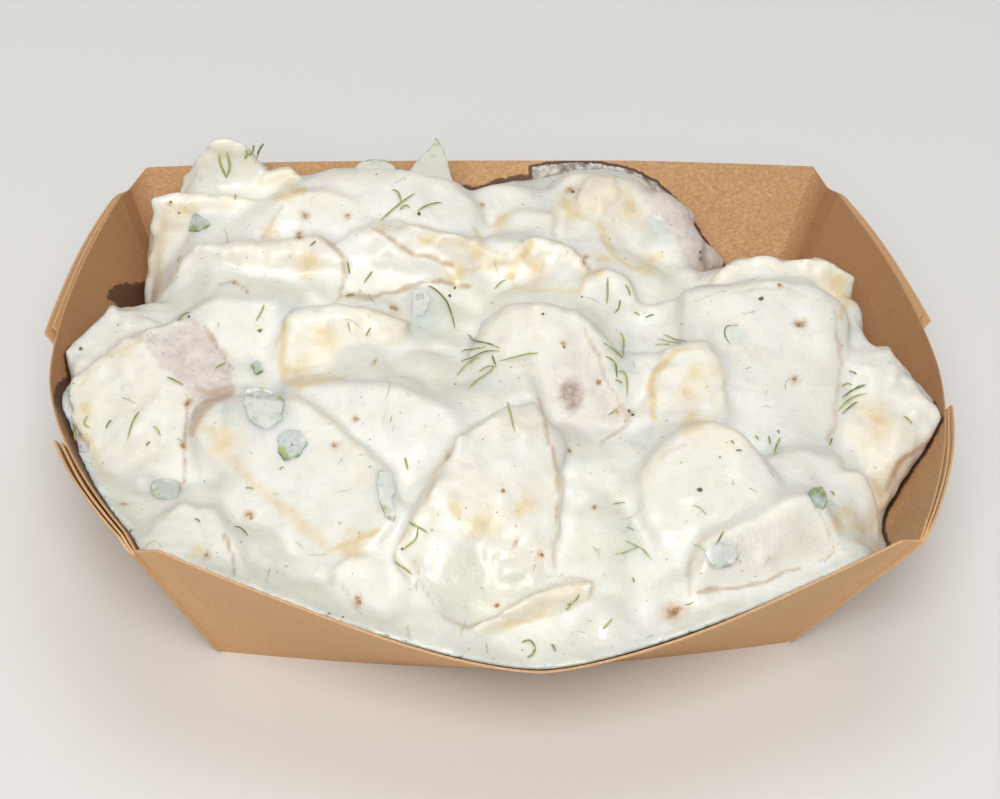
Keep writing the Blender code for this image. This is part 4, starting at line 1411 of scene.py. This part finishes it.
# Slices of onion on the heap: outline in the frame, lift of the rim in millimetres, how far the
# dressing coats them (0 to 1), and green spots (across, down, radius).
onionRows = {
    "triangle": {"outline": [
        (194, 212), (202, 217), (210, 225), (200, 231), (189, 230), (190, 220),
    ], "lift": 0.3, "coat": 0.15, "green": [(194, 230, 7), (207, 229, 6)]},
    "small": {"outline": [
        (251, 366), (257, 361), (264, 372), (256, 374),
    ], "lift": 0.3, "coat": 0.2, "green": [(252, 368, 5), (260, 374, 5)]},
    "leftBig": {"outline": [
        (247, 390), (262, 388), (276, 394), (285, 402), (281, 421), (266, 428), (250, 420), (244, 404),
    ], "lift": 0.2, "coat": 0.6, "green": [(282, 398, 7), (284, 412, 8), (262, 389, 5)]},
    "disc": {"outline": [
        (278, 436), (288, 430), (301, 433), (307, 443), (300, 456), (285, 459), (279, 450),
    ], "lift": 0.3, "coat": 0.3, "green": [(281, 452, 9), (285, 459, 9), (298, 457, 5)]},
    "strip": {"outline": [
        (378, 471), (390, 472), (395, 488), (392, 500), (396, 517), (387, 516), (380, 500), (377, 484),
    ], "lift": 0.2, "coat": 0.65, "green": [(383, 508, 8), (391, 518, 7), (381, 474, 6)]},
    "lowLeft": {"outline": [
        (152, 482), (166, 479), (180, 484), (178, 497), (164, 499), (152, 494),
    ], "lift": 0.25, "coat": 0.45, "green": [(151, 489, 10), (176, 478, 8)]},
    "green": {"outline": [
        (413, 290), (424, 288), (430, 300), (424, 314), (412, 316),
    ], "lift": 0.05, "coat": 0.7, "green": []},
    "rightWedge": {"outline": [
        (808, 493), (821, 487), (825, 495), (822, 507), (814, 503),
    ], "lift": 0.7, "coat": 0.15, "green": [(810, 491, 8), (818, 488, 8), (823, 494, 5)]},
    "lowerRight": {"outline": [
        (706, 552), (716, 543), (732, 546), (738, 556), (730, 564), (712, 565),
    ], "lift": 0.15, "coat": 0.7, "green": [(713, 563, 6), (728, 565, 6), (737, 557, 5)]},
}

# Slices that stand on the heap's upper edge: outline, how far across the frame they stand, how far
# they bulge in millimetres, and green spots.
standingOnions = {
    "pointed": {"outline": [
        (436, 138), (443, 150), (448, 164), (452, 182), (452, 192), (412, 192), (410, 172), (420, 158),
        (430, 148),
    ], "across": 430, "bulge": 1.0, "green": [(436, 139, 13), (445, 152, 5), (449, 166, 4), (428, 149, 4)]},
    "round": {"outline": [
        (353, 171), (358, 164), (370, 160), (385, 161), (394, 167), (397, 180), (390, 188), (352, 186),
    ], "across": 374, "bulge": 0.8, "green": [(355, 167, 6), (370, 160, 6), (386, 161, 6)]},
}

# Larger grains in the frame: across, down, radius in pixels, how dark. The fine grains are strewn
# at random.
fineGrains = {"count": 170, "across": (70, 930), "down": (170, 655), "radius": (0.4, 1.0), "dark": (0, 0.8)}
grainShape = {"squash": (0.5, 0.95), "lumps": 0.3, "lumpsPerRadius": 1.7, "lift": 0.25}
grains = [
    (81, 349, 2.7, 0.9), (419, 214, 2.4, 0.8), (450, 296, 2.8, 1.0), (573, 192, 2.6, 0.9),
    (700, 252, 2.2, 0.8), (700, 259, 2.0, 0.9), (761, 299, 2.7, 0.8), (700, 490, 2.8, 0.9),
    (503, 491, 2.2, 0.5), (569, 451, 2.2, 0.5), (633, 415, 2.1, 0.9), (629, 411, 2.0, 1.0),
    (171, 202, 2.0, 0.8), (179, 213, 1.4, 0.8), (189, 317, 2.0, 0.8), (676, 611, 3.4, 0.3),
    (798, 325, 2.4, 0.4), (392, 308, 2.6, 0.2), (542, 555, 2.6, 0.3), (251, 518, 2.4, 0.4),
    (360, 602, 2.2, 0.3), (292, 445, 1.8, 0.3), (779, 285, 2.2, 0.4), (794, 379, 2.2, 0.4),
    (402, 549, 1.8, 1.0), (260, 331, 2.4, 0.9), (334, 446, 1.8, 0.4), (358, 419, 1.8, 0.3),
    (582, 297, 1.8, 0.8), (543, 314, 1.6, 0.9), (497, 606, 2.2, 0.5), (594, 507, 2.0, 0.4),
    (564, 347, 2.2, 0.4), (599, 382, 2.4, 0.4), (118, 325, 1.6, 0.4), (778, 431, 1.6, 0.9),
    (720, 457, 1.4, 0.6), (455, 288, 1.6, 0.7), (184, 445, 2.2, 0.3),
]


def layDill():
    bunch = Bunch("coat", "tint")
    rows = [(*sizes, line) for *sizes, lines in dill.values() for line in lines]
    crumb = dillCrumbs
    for _ in range(crumb["count"]):
        across, down = rng.uniform(*crumb["across"]), rng.uniform(*crumb["down"])
        angle, length = rng.uniform(0, math.pi), rng.uniform(*crumb["length"])
        turn = np.array([math.cos(angle), math.sin(angle)]) * length
        middle = np.array([across, down])
        if onHeap(middle - turn) and onHeap(middle + turn):
            bend = middle + turn[::-1] * [1, -1] * rng.uniform(-crumb["bend"], crumb["bend"])
            thick, coat = rng.uniform(*crumb["thickness"]), rng.uniform(*crumb["coat"])
            rows.append((thick, crumb["lift"], coat, [middle - turn, bend, middle + turn]))
    taper, (depth, size) = leafShape["taper"], leafShape["wave"]
    for thick, lift, coat, line in rows:
        thick = thick * leafShape["radius"]
        pixels = smoothLine(line, leafShape["steps"])
        spots, ups = restLine(pixels)
        share = np.linspace(0, 1, len(spots))
        full = np.sin(np.pi * (taper["start"] + taper["span"] * share)) * taper["fuller"]
        radii = thick * np.clip(full, taper["tip"], 1)
        height = thick * leafShape["sunk"] + lift * np.sin(np.pi * share) ** leafShape["arch"]
        wave = np.stack([lumps(spots, size, k) for k in (0.1, 4.2, 8.8)], -1)
        path = spots + ups * height[:, None] + depth * wave
        points, faces = tubeAlong(path, ups, radii)
        bunch.add(points, faces, coat=coat, tint=rng.uniform(0, 1))
    bunch.piece("dillLeaves", "dill", dillFinish())


dillHues = {
    "leaf": rgb(108, 126, 64),
    "leafPale": rgb(156, 168, 88),
    "patch": rgb(188, 198, 134),
    "dressing": rgb(214, 220, 204),
}


def dillFinish():
    finish = Finish("dillLeaf", Subsurface_Weight=0.1, Subsurface_Scale=0.0006)
    coat, tint = finish.attribute("coat"), finish.attribute("tint")
    patch = finish.noise(700, 3, 0.6)
    colour = finish.mix((tint + patch - 0.5).above(0.1, 0.9), dillHues["leaf"], dillHues["leafPale"])
    colour = finish.mix(patch.above(0.5, 0.75) * 0.6, colour, dillHues["patch"])
    veil = (coat + (patch - 0.5) * 1.1).above(0.15, 1.0)
    colour = finish.mix(veil * 0.8, colour, dillHues["dressing"])
    veins = finish.noise(2600, 2, 0.5)
    relief = finish.bump(veins, 0.3, 0.0002)
    return finish.feed(Base_Color=colour, Roughness=0.35 + veil * 0.1, Normal=relief)


sliceShape = {
    "rings": (0.0, 0.3, 0.6, 0.82, 0.94, 1.0),  # shares of the way from the middle to the rim
    "edgeSteps": 6,
    "round": 0.35,  # between corners with straight edges (0) and a smooth outline (1)
    "ragged": 1.1,  # pixels
    "clear": 0.1,  # millimetres above the heap
    "curl": 0.5,
    "wave": 0.15,
    "bridge": 6,  # the deepest step of the heap that a slice follows
    "bulgeWidth": 22,  # pixels
    "thick": (0, -0.3, -0.45),
    "thickStanding": (0.05, 0.4, -0.1),
    "standingCoat": 0.75,
    "sharp": 0.7,
}


def sliceOutline(outline):
    # the outline in pixels with more points, partly rounded and a little ragged
    steps, corners = sliceShape["edgeSteps"], np.array(outline, float)
    shares = np.linspace(0, 1, steps, endpoint=False)[:, None]
    straight = [a + (b - a) * shares for a, b in zip(corners, np.roll(corners, -1, 0))]
    curved = smoothLine(outline, steps, closed=True)
    edge = curved * sliceShape["round"] + np.concatenate(straight) * (1 - sliceShape["round"])
    flat = np.column_stack([edge, np.zeros(len(edge))])
    return edge + sliceShape["ragged"] * np.stack([lumps(flat, 5.0, 0.3), lumps(flat, 5.0, 4.4)], -1)


def heapEdge(across, first=150, last=260):
    # the first spot of the heap on the way down the frame, between these rows
    for down in range(first, last):
        hit = onHeap((across, down))
        if hit:
            return hit[0]


def towardsCamera(spot):
    return (cameraSpot - spot) / np.linalg.norm(cameraSpot - spot)


def lyingSpot(pixel, share, lift, first):
    spot, up = onHeap(pixel) or (besideSpot(pixel, first), np.array(sliceUp))
    # a slice bridges a deep gap, it doesn't run down into it
    view = towardsCamera(spot)
    depth = 0 if first is None else (spot - first) @ view
    spot = spot + view * (np.clip(depth, -sliceShape["bridge"], sliceShape["bridge"]) - depth)
    return spot + up * (sliceShape["clear"] + lift * sliceShape["curl"] * share**3)


def standingSpot(pixel, middle, bulge, stand):
    spot = besideSpot(pixel, stand)
    bulge = bulge * (1 - ((pixel[0] - middle[0]) / sliceShape["bulgeWidth"]) ** 2)
    return spot + towardsCamera(spot) * bulge


def sliceFaces(count, rings):
    # fans and bands from the middle out, the same on the far side, and the band between them
    faces = [(0, 1 + i, 1 + (i + 1) % count) for i in range(count)]
    for ring in range(rings - 2):
        a, b = 1 + ring * count, 1 + (ring + 1) * count
        faces += [(a + i, b + i, b + (i + 1) % count, a + (i + 1) % count) for i in range(count)]
    half = 1 + (rings - 1) * count
    faces += [tuple(half + index for index in face[::-1]) for face in faces]
    a = half - count
    b = half + a
    return faces + [(a + i, b + i, b + (i + 1) % count, a + (i + 1) % count) for i in range(count)]


def layOnion():
    bunch = Bunch("coat", "rim", "green")
    rings = sliceShape["rings"]
    for row in [*onionRows.values(), *standingOnions.values()]:
        edge = sliceOutline(row["outline"])
        middle = edge.mean(0)
        standing = "across" in row
        stand = heapEdge(row["across"]) if standing else None
        top = []
        for share in rings:
            for pixel in (middle + (edge - middle) * share if share else middle[None]):
                if standing:
                    top.append(standingSpot(pixel, middle, row["bulge"], stand))
                else:
                    top.append(lyingSpot(pixel, share, row["lift"], top[0] if top else None))
        top = np.array(top)
        if not standing:
            wave = np.stack([lumps(top[1:], 3.0, k) for k in (0.7, 2.2, 5.9)], -1)
            top[1:] += sliceShape["wave"] * wave
        points = np.concatenate([top, top + sliceShape["thickStanding" if standing else "thick"]])
        rim = np.tile(np.repeat(rings, [1] + [len(edge)] * (len(rings) - 1)), 2)
        near = nearSpots(pixelOf(points), row["green"])
        coat = row.get("coat", sliceShape["standingCoat"])
        bunch.add(points, sliceFaces(len(edge), len(rings)), coat=coat, rim=rim, green=near)
    piece = bunch.piece("onionSlices", "onion", onionFinish())
    piece.data.set_sharp_from_angle(angle=sliceShape["sharp"])


onionHues = {
    "clear": rgb(217, 225, 218),
    "clearDark": rgb(192, 204, 199),
    "fibre": rgb(172, 186, 178),
    "leafy": rgb(158, 178, 76),
    "skin": rgb(104, 132, 58),
    # edge: the colour of the painted shade on the rims
    "edge": rgb(138, 156, 122),
    "dressing": rgb(244, 244, 235),
}


def onionFinish():
    finish = Finish("springOnion", Subsurface_Weight=0.3, Subsurface_Scale=0.001, Roughness=0.3)
    finish.surface.inputs["Subsurface Radius"].default_value = (1.0, 0.9, 0.7)
    coat, rim, green = (finish.attribute(name) for name in ("coat", "rim", "green"))
    patch = finish.noise(420, 4, 0.6)
    fibres = finish.noise(1500, 3, 0.6)
    colour = finish.mix(patch.above(0.35, 0.65), onionHues["clear"], onionHues["clearDark"])
    colour = finish.mix(fibres.above(0.48, 0.7) * 0.6, colour, onionHues["fibre"])
    leafy = (green + (patch - 0.5) * 0.5).above(0.05, 0.6)
    colour = finish.mix(leafy * 0.85, colour, onionHues["leafy"])
    skin = rim.above(0.9, 1.0) * (leafy * 0.9 + 0.12) * patch.above(0.3, 0.5)
    colour = finish.mix(skin, colour, onionHues["skin"])
    # painted shade on the rim's side wall, which would otherwise show bright where it catches the light
    colour = finish.mix(rim.above(0.965, 0.99) * 0.6, colour, onionHues["edge"])
    veil = (coat + (patch - 0.5) * 2.0).above(0.2, 0.75)
    colour = finish.mix(veil * (1 - skin * 0.6) * 0.9, colour, onionHues["dressing"])
    colour = finish.mix(1.0, colour, (saladTone,) * 3, "MULTIPLY")
    return finish.feed(Base_Color=colour, Normal=finish.bump(fibres + patch, 0.35, 0.0003))


def layPepper():
    bunch = Bunch("dark")
    ball = bmesh.new()
    bmesh.ops.create_icosphere(ball, subdivisions=2, radius=1)
    shell = np.array([vert.co for vert in ball.verts])
    faces = [tuple(vert.index for vert in face.verts) for face in ball.faces]
    ball.free()
    rows = list(grains)
    for _ in range(fineGrains["count"]):
        rows.append([rng.uniform(*fineGrains[key]) for key in ("across", "down", "radius", "dark")])
    for across, down, radius, dark in rows:
        hit = onHeap((across, down))
        if hit is None:
            continue
        spot, up = hit
        size = radius / shot["perMillimetre"] * rng.uniform(*grainShape["squash"], 3)
        place = shell * grainShape["lumpsPerRadius"] + rng.uniform(0, 30)
        rough = 1 + grainShape["lumps"] * lumps(place, 1.0)[:, None]
        points = shell * rough * size + spot + up * size.min() * grainShape["lift"]
        bunch.add(points, faces, dark=dark)
    bunch.piece("pepperGrains", "pepper", pepperFinish())


pepperHues = {
    "brown": rgb(166, 118, 74),
    "tan": rgb(192, 148, 100),
    "dark": rgb(102, 94, 74),
    "speckle": rgb(128, 122, 88),
}


def pepperFinish():
    finish = Finish("pepperGrain", Roughness=0.55)
    dark = finish.attribute("dark")
    speckle = finish.noise(1800, 2, 0.6)
    colour = finish.mix(speckle.above(0.35, 0.65), pepperHues["brown"], pepperHues["tan"])
    colour = finish.mix(dark.above(0.35, 0.75), colour, pepperHues["dark"])
    colour = finish.mix(speckle.above(0.6, 0.75) * 0.4, colour, pepperHues["speckle"])
    return finish.feed(Base_Color=colour, Normal=finish.bump(speckle, 0.5, 0.0002))


layOnion()
layDill()
layPepper()


# The tray.

webs = {
    # end wall and corner: how far along the half wall the folded web reaches
    ("left", "back"): 0.76,
    ("left", "front"): 0.66,
    ("right", "back"): 0.74,
    ("right", "front"): 0.80,
    "steps": 26,
    "rows": 6,
    # each layer of a back or front web: millimetres that it stands off at the corner and at the
    # tip, and shares of the wall that it lies below the rim and is shorter
    "back": [(0.05, 0.9, 0.006, 0.03), (0.3, 2.2, 0.015, 0.0)],
    "front": [(0.02, 0.6, 0.006, 0.03), (0.2, 1.6, 0.015, 0.0)],
    "wave": 0.12,  # how far a web waves, and how often along its length
    "waveTurns": 9,
    "curl": 0.35,  # the power by which a web stands off faster near the corner
    "foot": (0.02, 0.9),  # its lower edge, as a share of the wall's height at the corner, and the rise
}


def trayRing():
    # every station once round the tray, as (wall, t)
    ring = []
    for wall, way in (("front", 1), ("right", 1), ("back", -1), ("left", -1)):
        steps = tray["sideSteps"] if wall in ("front", "back") else tray["endSteps"]
        nearCorner = 1 - tray["rise"][wall][1] / wallSizes(wall)[3]
        shares = [-1] + [nearCorner * (-1 + 2 * i / steps) for i in range(steps + 1)]
        ring += [(wall, way * share) for share in shares]
    return ring


def buckle(points, strength):
    # the board isn't quite flat
    for axis in (0, 1):
        points[:, axis] += tray["warp"] * strength * lumps(points, tray["warpSize"], axis * 3.7)
    return points


def trayWalls():
    ring = trayRing()
    count = len(ring)
    levels = np.linspace(0, 1, tray["levels"] + 1)
    points = np.concatenate([wallPoints(wall, t, level)[None] for level in levels for wall, t in ring])
    loose = np.tile([1 - abs(t) ** tray["stiffness"] for wall, t in ring], len(levels))
    points = buckle(points, loose * np.repeat(levels, count))
    faces = []
    for row in range(len(levels) - 1):
        for i in range(count):
            j = (i + 1) % count
            faces.append((row * count + i, row * count + j, (row + 1) * count + j, (row + 1) * count + i))
    points = np.concatenate([points, [[0, 0, 0]]])
    faces += [(len(points) - 1, (i + 1) % count, i) for i in range(count)]
    return points, faces, -1


def trayWeb(wall, corner, layer):
    side = -1 if corner == "front" else 1
    near, far, down, shorter = layer
    points, faces = [], []
    for i in range(webs["steps"] + 1):
        along = i / webs["steps"]
        t = side * (1 - (webs[wall, corner] - shorter) * along)
        wave = webs["wave"] * math.sin(along * webs["waveTurns"] + far * 5) * along
        standOff = near + (far - near) * along ** webs["curl"] + wave
        foot = along * webs["foot"][1] + webs["foot"][0]
        for j in range(webs["rows"] + 1):
            level = foot + (1 - down - foot) * j / webs["rows"]
            points.append(wallPoints(wall, t, level, -standOff))
    points = buckle(np.array(points), tray["webWarp"])
    rows = webs["rows"] + 1
    for i in range(webs["steps"]):
        for j in range(webs["rows"]):
            a = i * rows + j
            faces.append((a, a + rows, a + rows + 1, a + 1))
    return points, faces, 1


def boardPiece(name, sheets):
    # sheets of board as one mesh: each is thickened inwards (-1) or outwards (1), so a web's faces
    # are turned to the outside first, and the walls' to the outside of the tray
    whole = bmesh.new()
    for points, faces, way in sheets:
        sheet = meshPiece("sheet", points, faces, smooth=False)
        bm = bmesh.new()
        bm.from_mesh(sheet.data)
        bmesh.ops.recalc_face_normals(bm, faces=bm.faces)
        middle = sum((vert.co for vert in bm.verts), Vector()) / len(bm.verts)
        inwards = Vector((0, 0, middle.z)) - middle
        if way > 0:
            face = max(bm.faces, key=lambda face: abs(face.normal @ inwards))
            flipped = face.normal @ inwards > 0
        else:
            flipped = sum(face.normal.z for face in bm.faces if len(face.verts) == 3) > 0
        if flipped:
            bmesh.ops.reverse_faces(bm, faces=bm.faces)
        bm.to_mesh(sheet.data)
        bm.free()
        sheet.data.materials.append(None)
        sheet.data.materials.append(None)
        solidify = sheet.modifiers.new("board", "SOLIDIFY")
        solidify.thickness, solidify.offset = tray["board"] * mm, way
        solidify.use_even_offset = True
        solidify.material_offset_rim = 1
        applyModifiers(sheet)
        whole.from_mesh(sheet.data)
        bpy.data.objects.remove(sheet)
    piece = bpy.data.objects.new(name, bpy.data.meshes.new(name))
    whole.to_mesh(piece.data)
    whole.free()
    bpy.context.scene.collection.objects.link(piece)
    return piece


# Marks on the inside of the board: the outline in the frame of the dressing smeared on the back
# wall, and spots of grease on the left one.
boardMarks = {
    "smear": [
        (533, 200), (532, 168), (546, 165), (575, 163), (604, 165), (632, 171), (655, 183), (678, 204),
        (694, 226), (706, 246), (724, 266), (700, 290), (600, 240),
    ],
    "grease": [(128, 297, 20), (117, 294, 13), (140, 294, 16), (136, 304, 12)],
}



# Painted shade: inside, the board is painted darker at the end walls, fading out over twice this width. At
# the right end this is so at the back, and over this stretch it fades to a small share at the front.
shadedEnds = {"width": 3, "fade": (-42, -5), "front": 0.15}
unmarked = 30  # a distance at which no mark shows
smearFrom = 20  # the smear is on the back wall, behind this


def paintTray():
    points = ownPoints(kraftTray)
    seen = pixelOf(points)
    depth = np.minimum.reduce([insideWall(wall, *points.T) for wall in tray["bow"]])
    inner = depth > tray["board"] * 0.6
    wet = contents(points)
    base, rim = np.array(tray["baseHalf"]), np.array(tray["rimHalf"])
    corners = base + (rim - base) * points[:, 2:] / tray["cornerHeight"]
    corner = np.linalg.norm(np.abs(points[:, :2]) - corners, axis=1)
    paint(kraftTray, "wet", np.where(inner, wet, unmarked))
    paint(kraftTray, "crease", np.where(inner, corner, unmarked))
    # painted shade on the inner end walls, and painted light (1) all over the outside
    width = shadedEnds["width"]
    fromEnd = np.minimum(*(insideWall(wall, *points.T) for wall in ("left", "right")))
    ends = smoothstep(width, -width, fromEnd - width)
    least = shadedEnds["front"]
    right = smoothstep(*shadedEnds["fade"], points[:, 1]) * (1 - least) + least
    ends = ends * np.where(points[:, 0] > 0, right, 1)
    paint(kraftTray, "tone", np.where(inner, -ends, 1.0))
    smear = polygonGap(seen, boardMarks["smear"])
    paint(kraftTray, "smear", np.where(inner & (points[:, 1] > smearFrom), smear, unmarked))
    grease = nearSpots(seen, boardMarks["grease"])
    paint(kraftTray, "grease", np.where(inner & (points[:, 0] < 0), grease, 0))


kraftHues = {
    "board": rgb(174, 130, 88),
    "boardPale": rgb(205, 165, 121),
    "cloud": rgb(176, 133, 92),
    "fleckPale": rgb(224, 196, 160),
    "fleckDark": rgb(150, 106, 68),
    "ends": rgb(150, 106, 68),
    "outside": rgb(226, 182, 134),
    "crease": rgb(218, 184, 146),
    "soaked": rgb(74, 46, 30),
    "smearPale": rgb(212, 208, 202),
    "smearDark": rgb(170, 160, 150),
}


def kraftFinish():
    finish = Finish("kraftBoard")
    fibres = finish.noise(1500, 5, 0.8, stretch=(0.75, 1, 1))
    cross = finish.noise(800, 3, 0.6)
    cloud = finish.noise(45, 3)
    colour = finish.mix(fibres.above(0.32, 0.68), kraftHues["board"], kraftHues["boardPale"])
    colour = finish.mix(cloud.above(0.35, 0.7) * 0.3, colour, kraftHues["cloud"])
    colour = finish.mix(cross.above(0.64, 0.72) * 0.5, colour, kraftHues["fleckPale"])
    colour = finish.mix((1 - cross.above(0.22, 0.3)) * 0.4, colour, kraftHues["fleckDark"])
    # painted shade and light: the two ends are painted darker inside, and the outside is painted paler
    tone = finish.attribute("tone")
    colour = finish.mix(tone.atMost(0) * -0.75, colour, kraftHues["ends"])
    colour = finish.mix(tone.atLeast(0) * 0.45, colour, kraftHues["outside"])
    crease = finish.attribute("crease")
    colour = finish.mix((1 - crease.above(0.2, 0.9)) * 0.55, colour, kraftHues["crease"])
    ragged = (cross - 0.5) * 1.6 + (cloud - 0.5) * 1.2
    wet = finish.attribute("wet") + ragged
    damp = (1 - wet.above(0.5, 1.0)) * 0.92
    grease = (finish.attribute("grease") + (cross - 0.5) * 0.7).above(0.22, 0.36)
    smear = finish.attribute("smear") + (cross - 0.5) * 5
    outline = (1 - smear.above(3.0, 4.0)) * 0.95
    soaked = damp.atLeast(grease * 0.9).atLeast(outline)
    colour = finish.mix(soaked, colour, kraftHues["soaked"])
    white = 1 - smear.above(-0.5, 0.8)
    pale = finish.mix(cross.above(0.4, 0.62), kraftHues["smearPale"], kraftHues["smearDark"])
    patches = finish.noise(380, 3, 0.6).above(0.35, 0.55)
    colour = finish.mix(white * (0.3 + patches * 0.6), colour, pale)
    relief = finish.bump(fibres + white * 1.5, 0.3, 0.00025)
    return finish.feed(Base_Color=colour, Roughness=soaked.between(0.85, 0.42), Normal=relief)


edgeHues = {
    "board": rgb(126, 88, 58),
    "boardPale": rgb(168, 130, 94),
}


def edgeFinish():
    finish = Finish("kraftBoardEdge", Roughness=0.9)
    fibres = finish.noise(1800, 3, 0.7)
    colour = finish.mix(fibres.above(0.3, 0.7), edgeHues["board"], edgeHues["boardPale"])
    return finish.feed(Base_Color=colour, Normal=finish.bump(fibres, 0.4, 0.0002))


sheets = [trayWalls()]
for wall in ("left", "right"):
    for corner in ("back", "front"):
        sheets += [trayWeb(wall, corner, layer) for layer in webs[corner]]
kraftTray = boardPiece("kraftTray", sheets)
kraftTray.data.materials.clear()
kraftTray.data.materials.append(kraftFinish())
kraftTray.data.materials.append(edgeFinish())
paintTray()
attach(kraftTray, body)
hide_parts("tray")
print("tray:", sum(len(face.vertices) - 2 for face in kraftTray.data.polygons), "triangles")


# Floor and light.

studio = {
    "floor": rgb(222, 221, 219),
    "floorClouds": rgb(200, 199, 197),
    "floorHalf": 3.0,
    "aim": (0, 0, 0.03),
    "world": (1.0, 0.985, 0.96),
    "worldStrength": 0.3,
    "key": {"at": (-0.3, -1.6, 1.8), "size": 1.2, "watts": 47.0},
    "top": {"at": (0.0, 0.4, 2.6), "size": 1.6, "watts": 15.0},
}


def makeFloor():
    mesh = bpy.data.meshes.new("floor")
    half = studio["floorHalf"]
    corners = [(-half, -half, 0), (half, -half, 0), (half, half, 0), (-half, half, 0)]
    mesh.from_pydata(corners, [], [(0, 1, 2, 3)])
    floor = bpy.data.objects.new("floor", mesh)
    bpy.context.scene.collection.objects.link(floor)
    finish = Finish("paleFloor", Roughness=0.7)
    cloud = finish.noise(9, 3)
    colour = finish.mix(cloud * 0.06, studio["floor"], studio["floorClouds"])
    floor.data.materials.append(finish.feed(Base_Color=colour))


def makeLight(name, row):
    data = bpy.data.lights.new(name, "AREA")
    data.shape, data.size, data.energy = "DISK", row["size"], row["watts"]
    light = bpy.data.objects.new(name, data)
    light.location = row["at"]
    towards = Vector(studio["aim"]) - Vector(row["at"])
    light.rotation_euler = towards.to_track_quat("-Z", "Y").to_euler()
    bpy.context.scene.collection.objects.link(light)


makeFloor()
makeLight("keyLight", studio["key"])
makeLight("topLight", studio["top"])
world = bpy.data.worlds.new("studio")
world.use_nodes = True
world.node_tree.nodes["Background"].inputs["Color"].default_value = (*studio["world"], 1)
world.node_tree.nodes["Background"].inputs["Strength"].default_value = studio["worldStrength"]
bpy.context.scene.world = world
bpy.context.scene.view_settings.view_transform = "Standard"
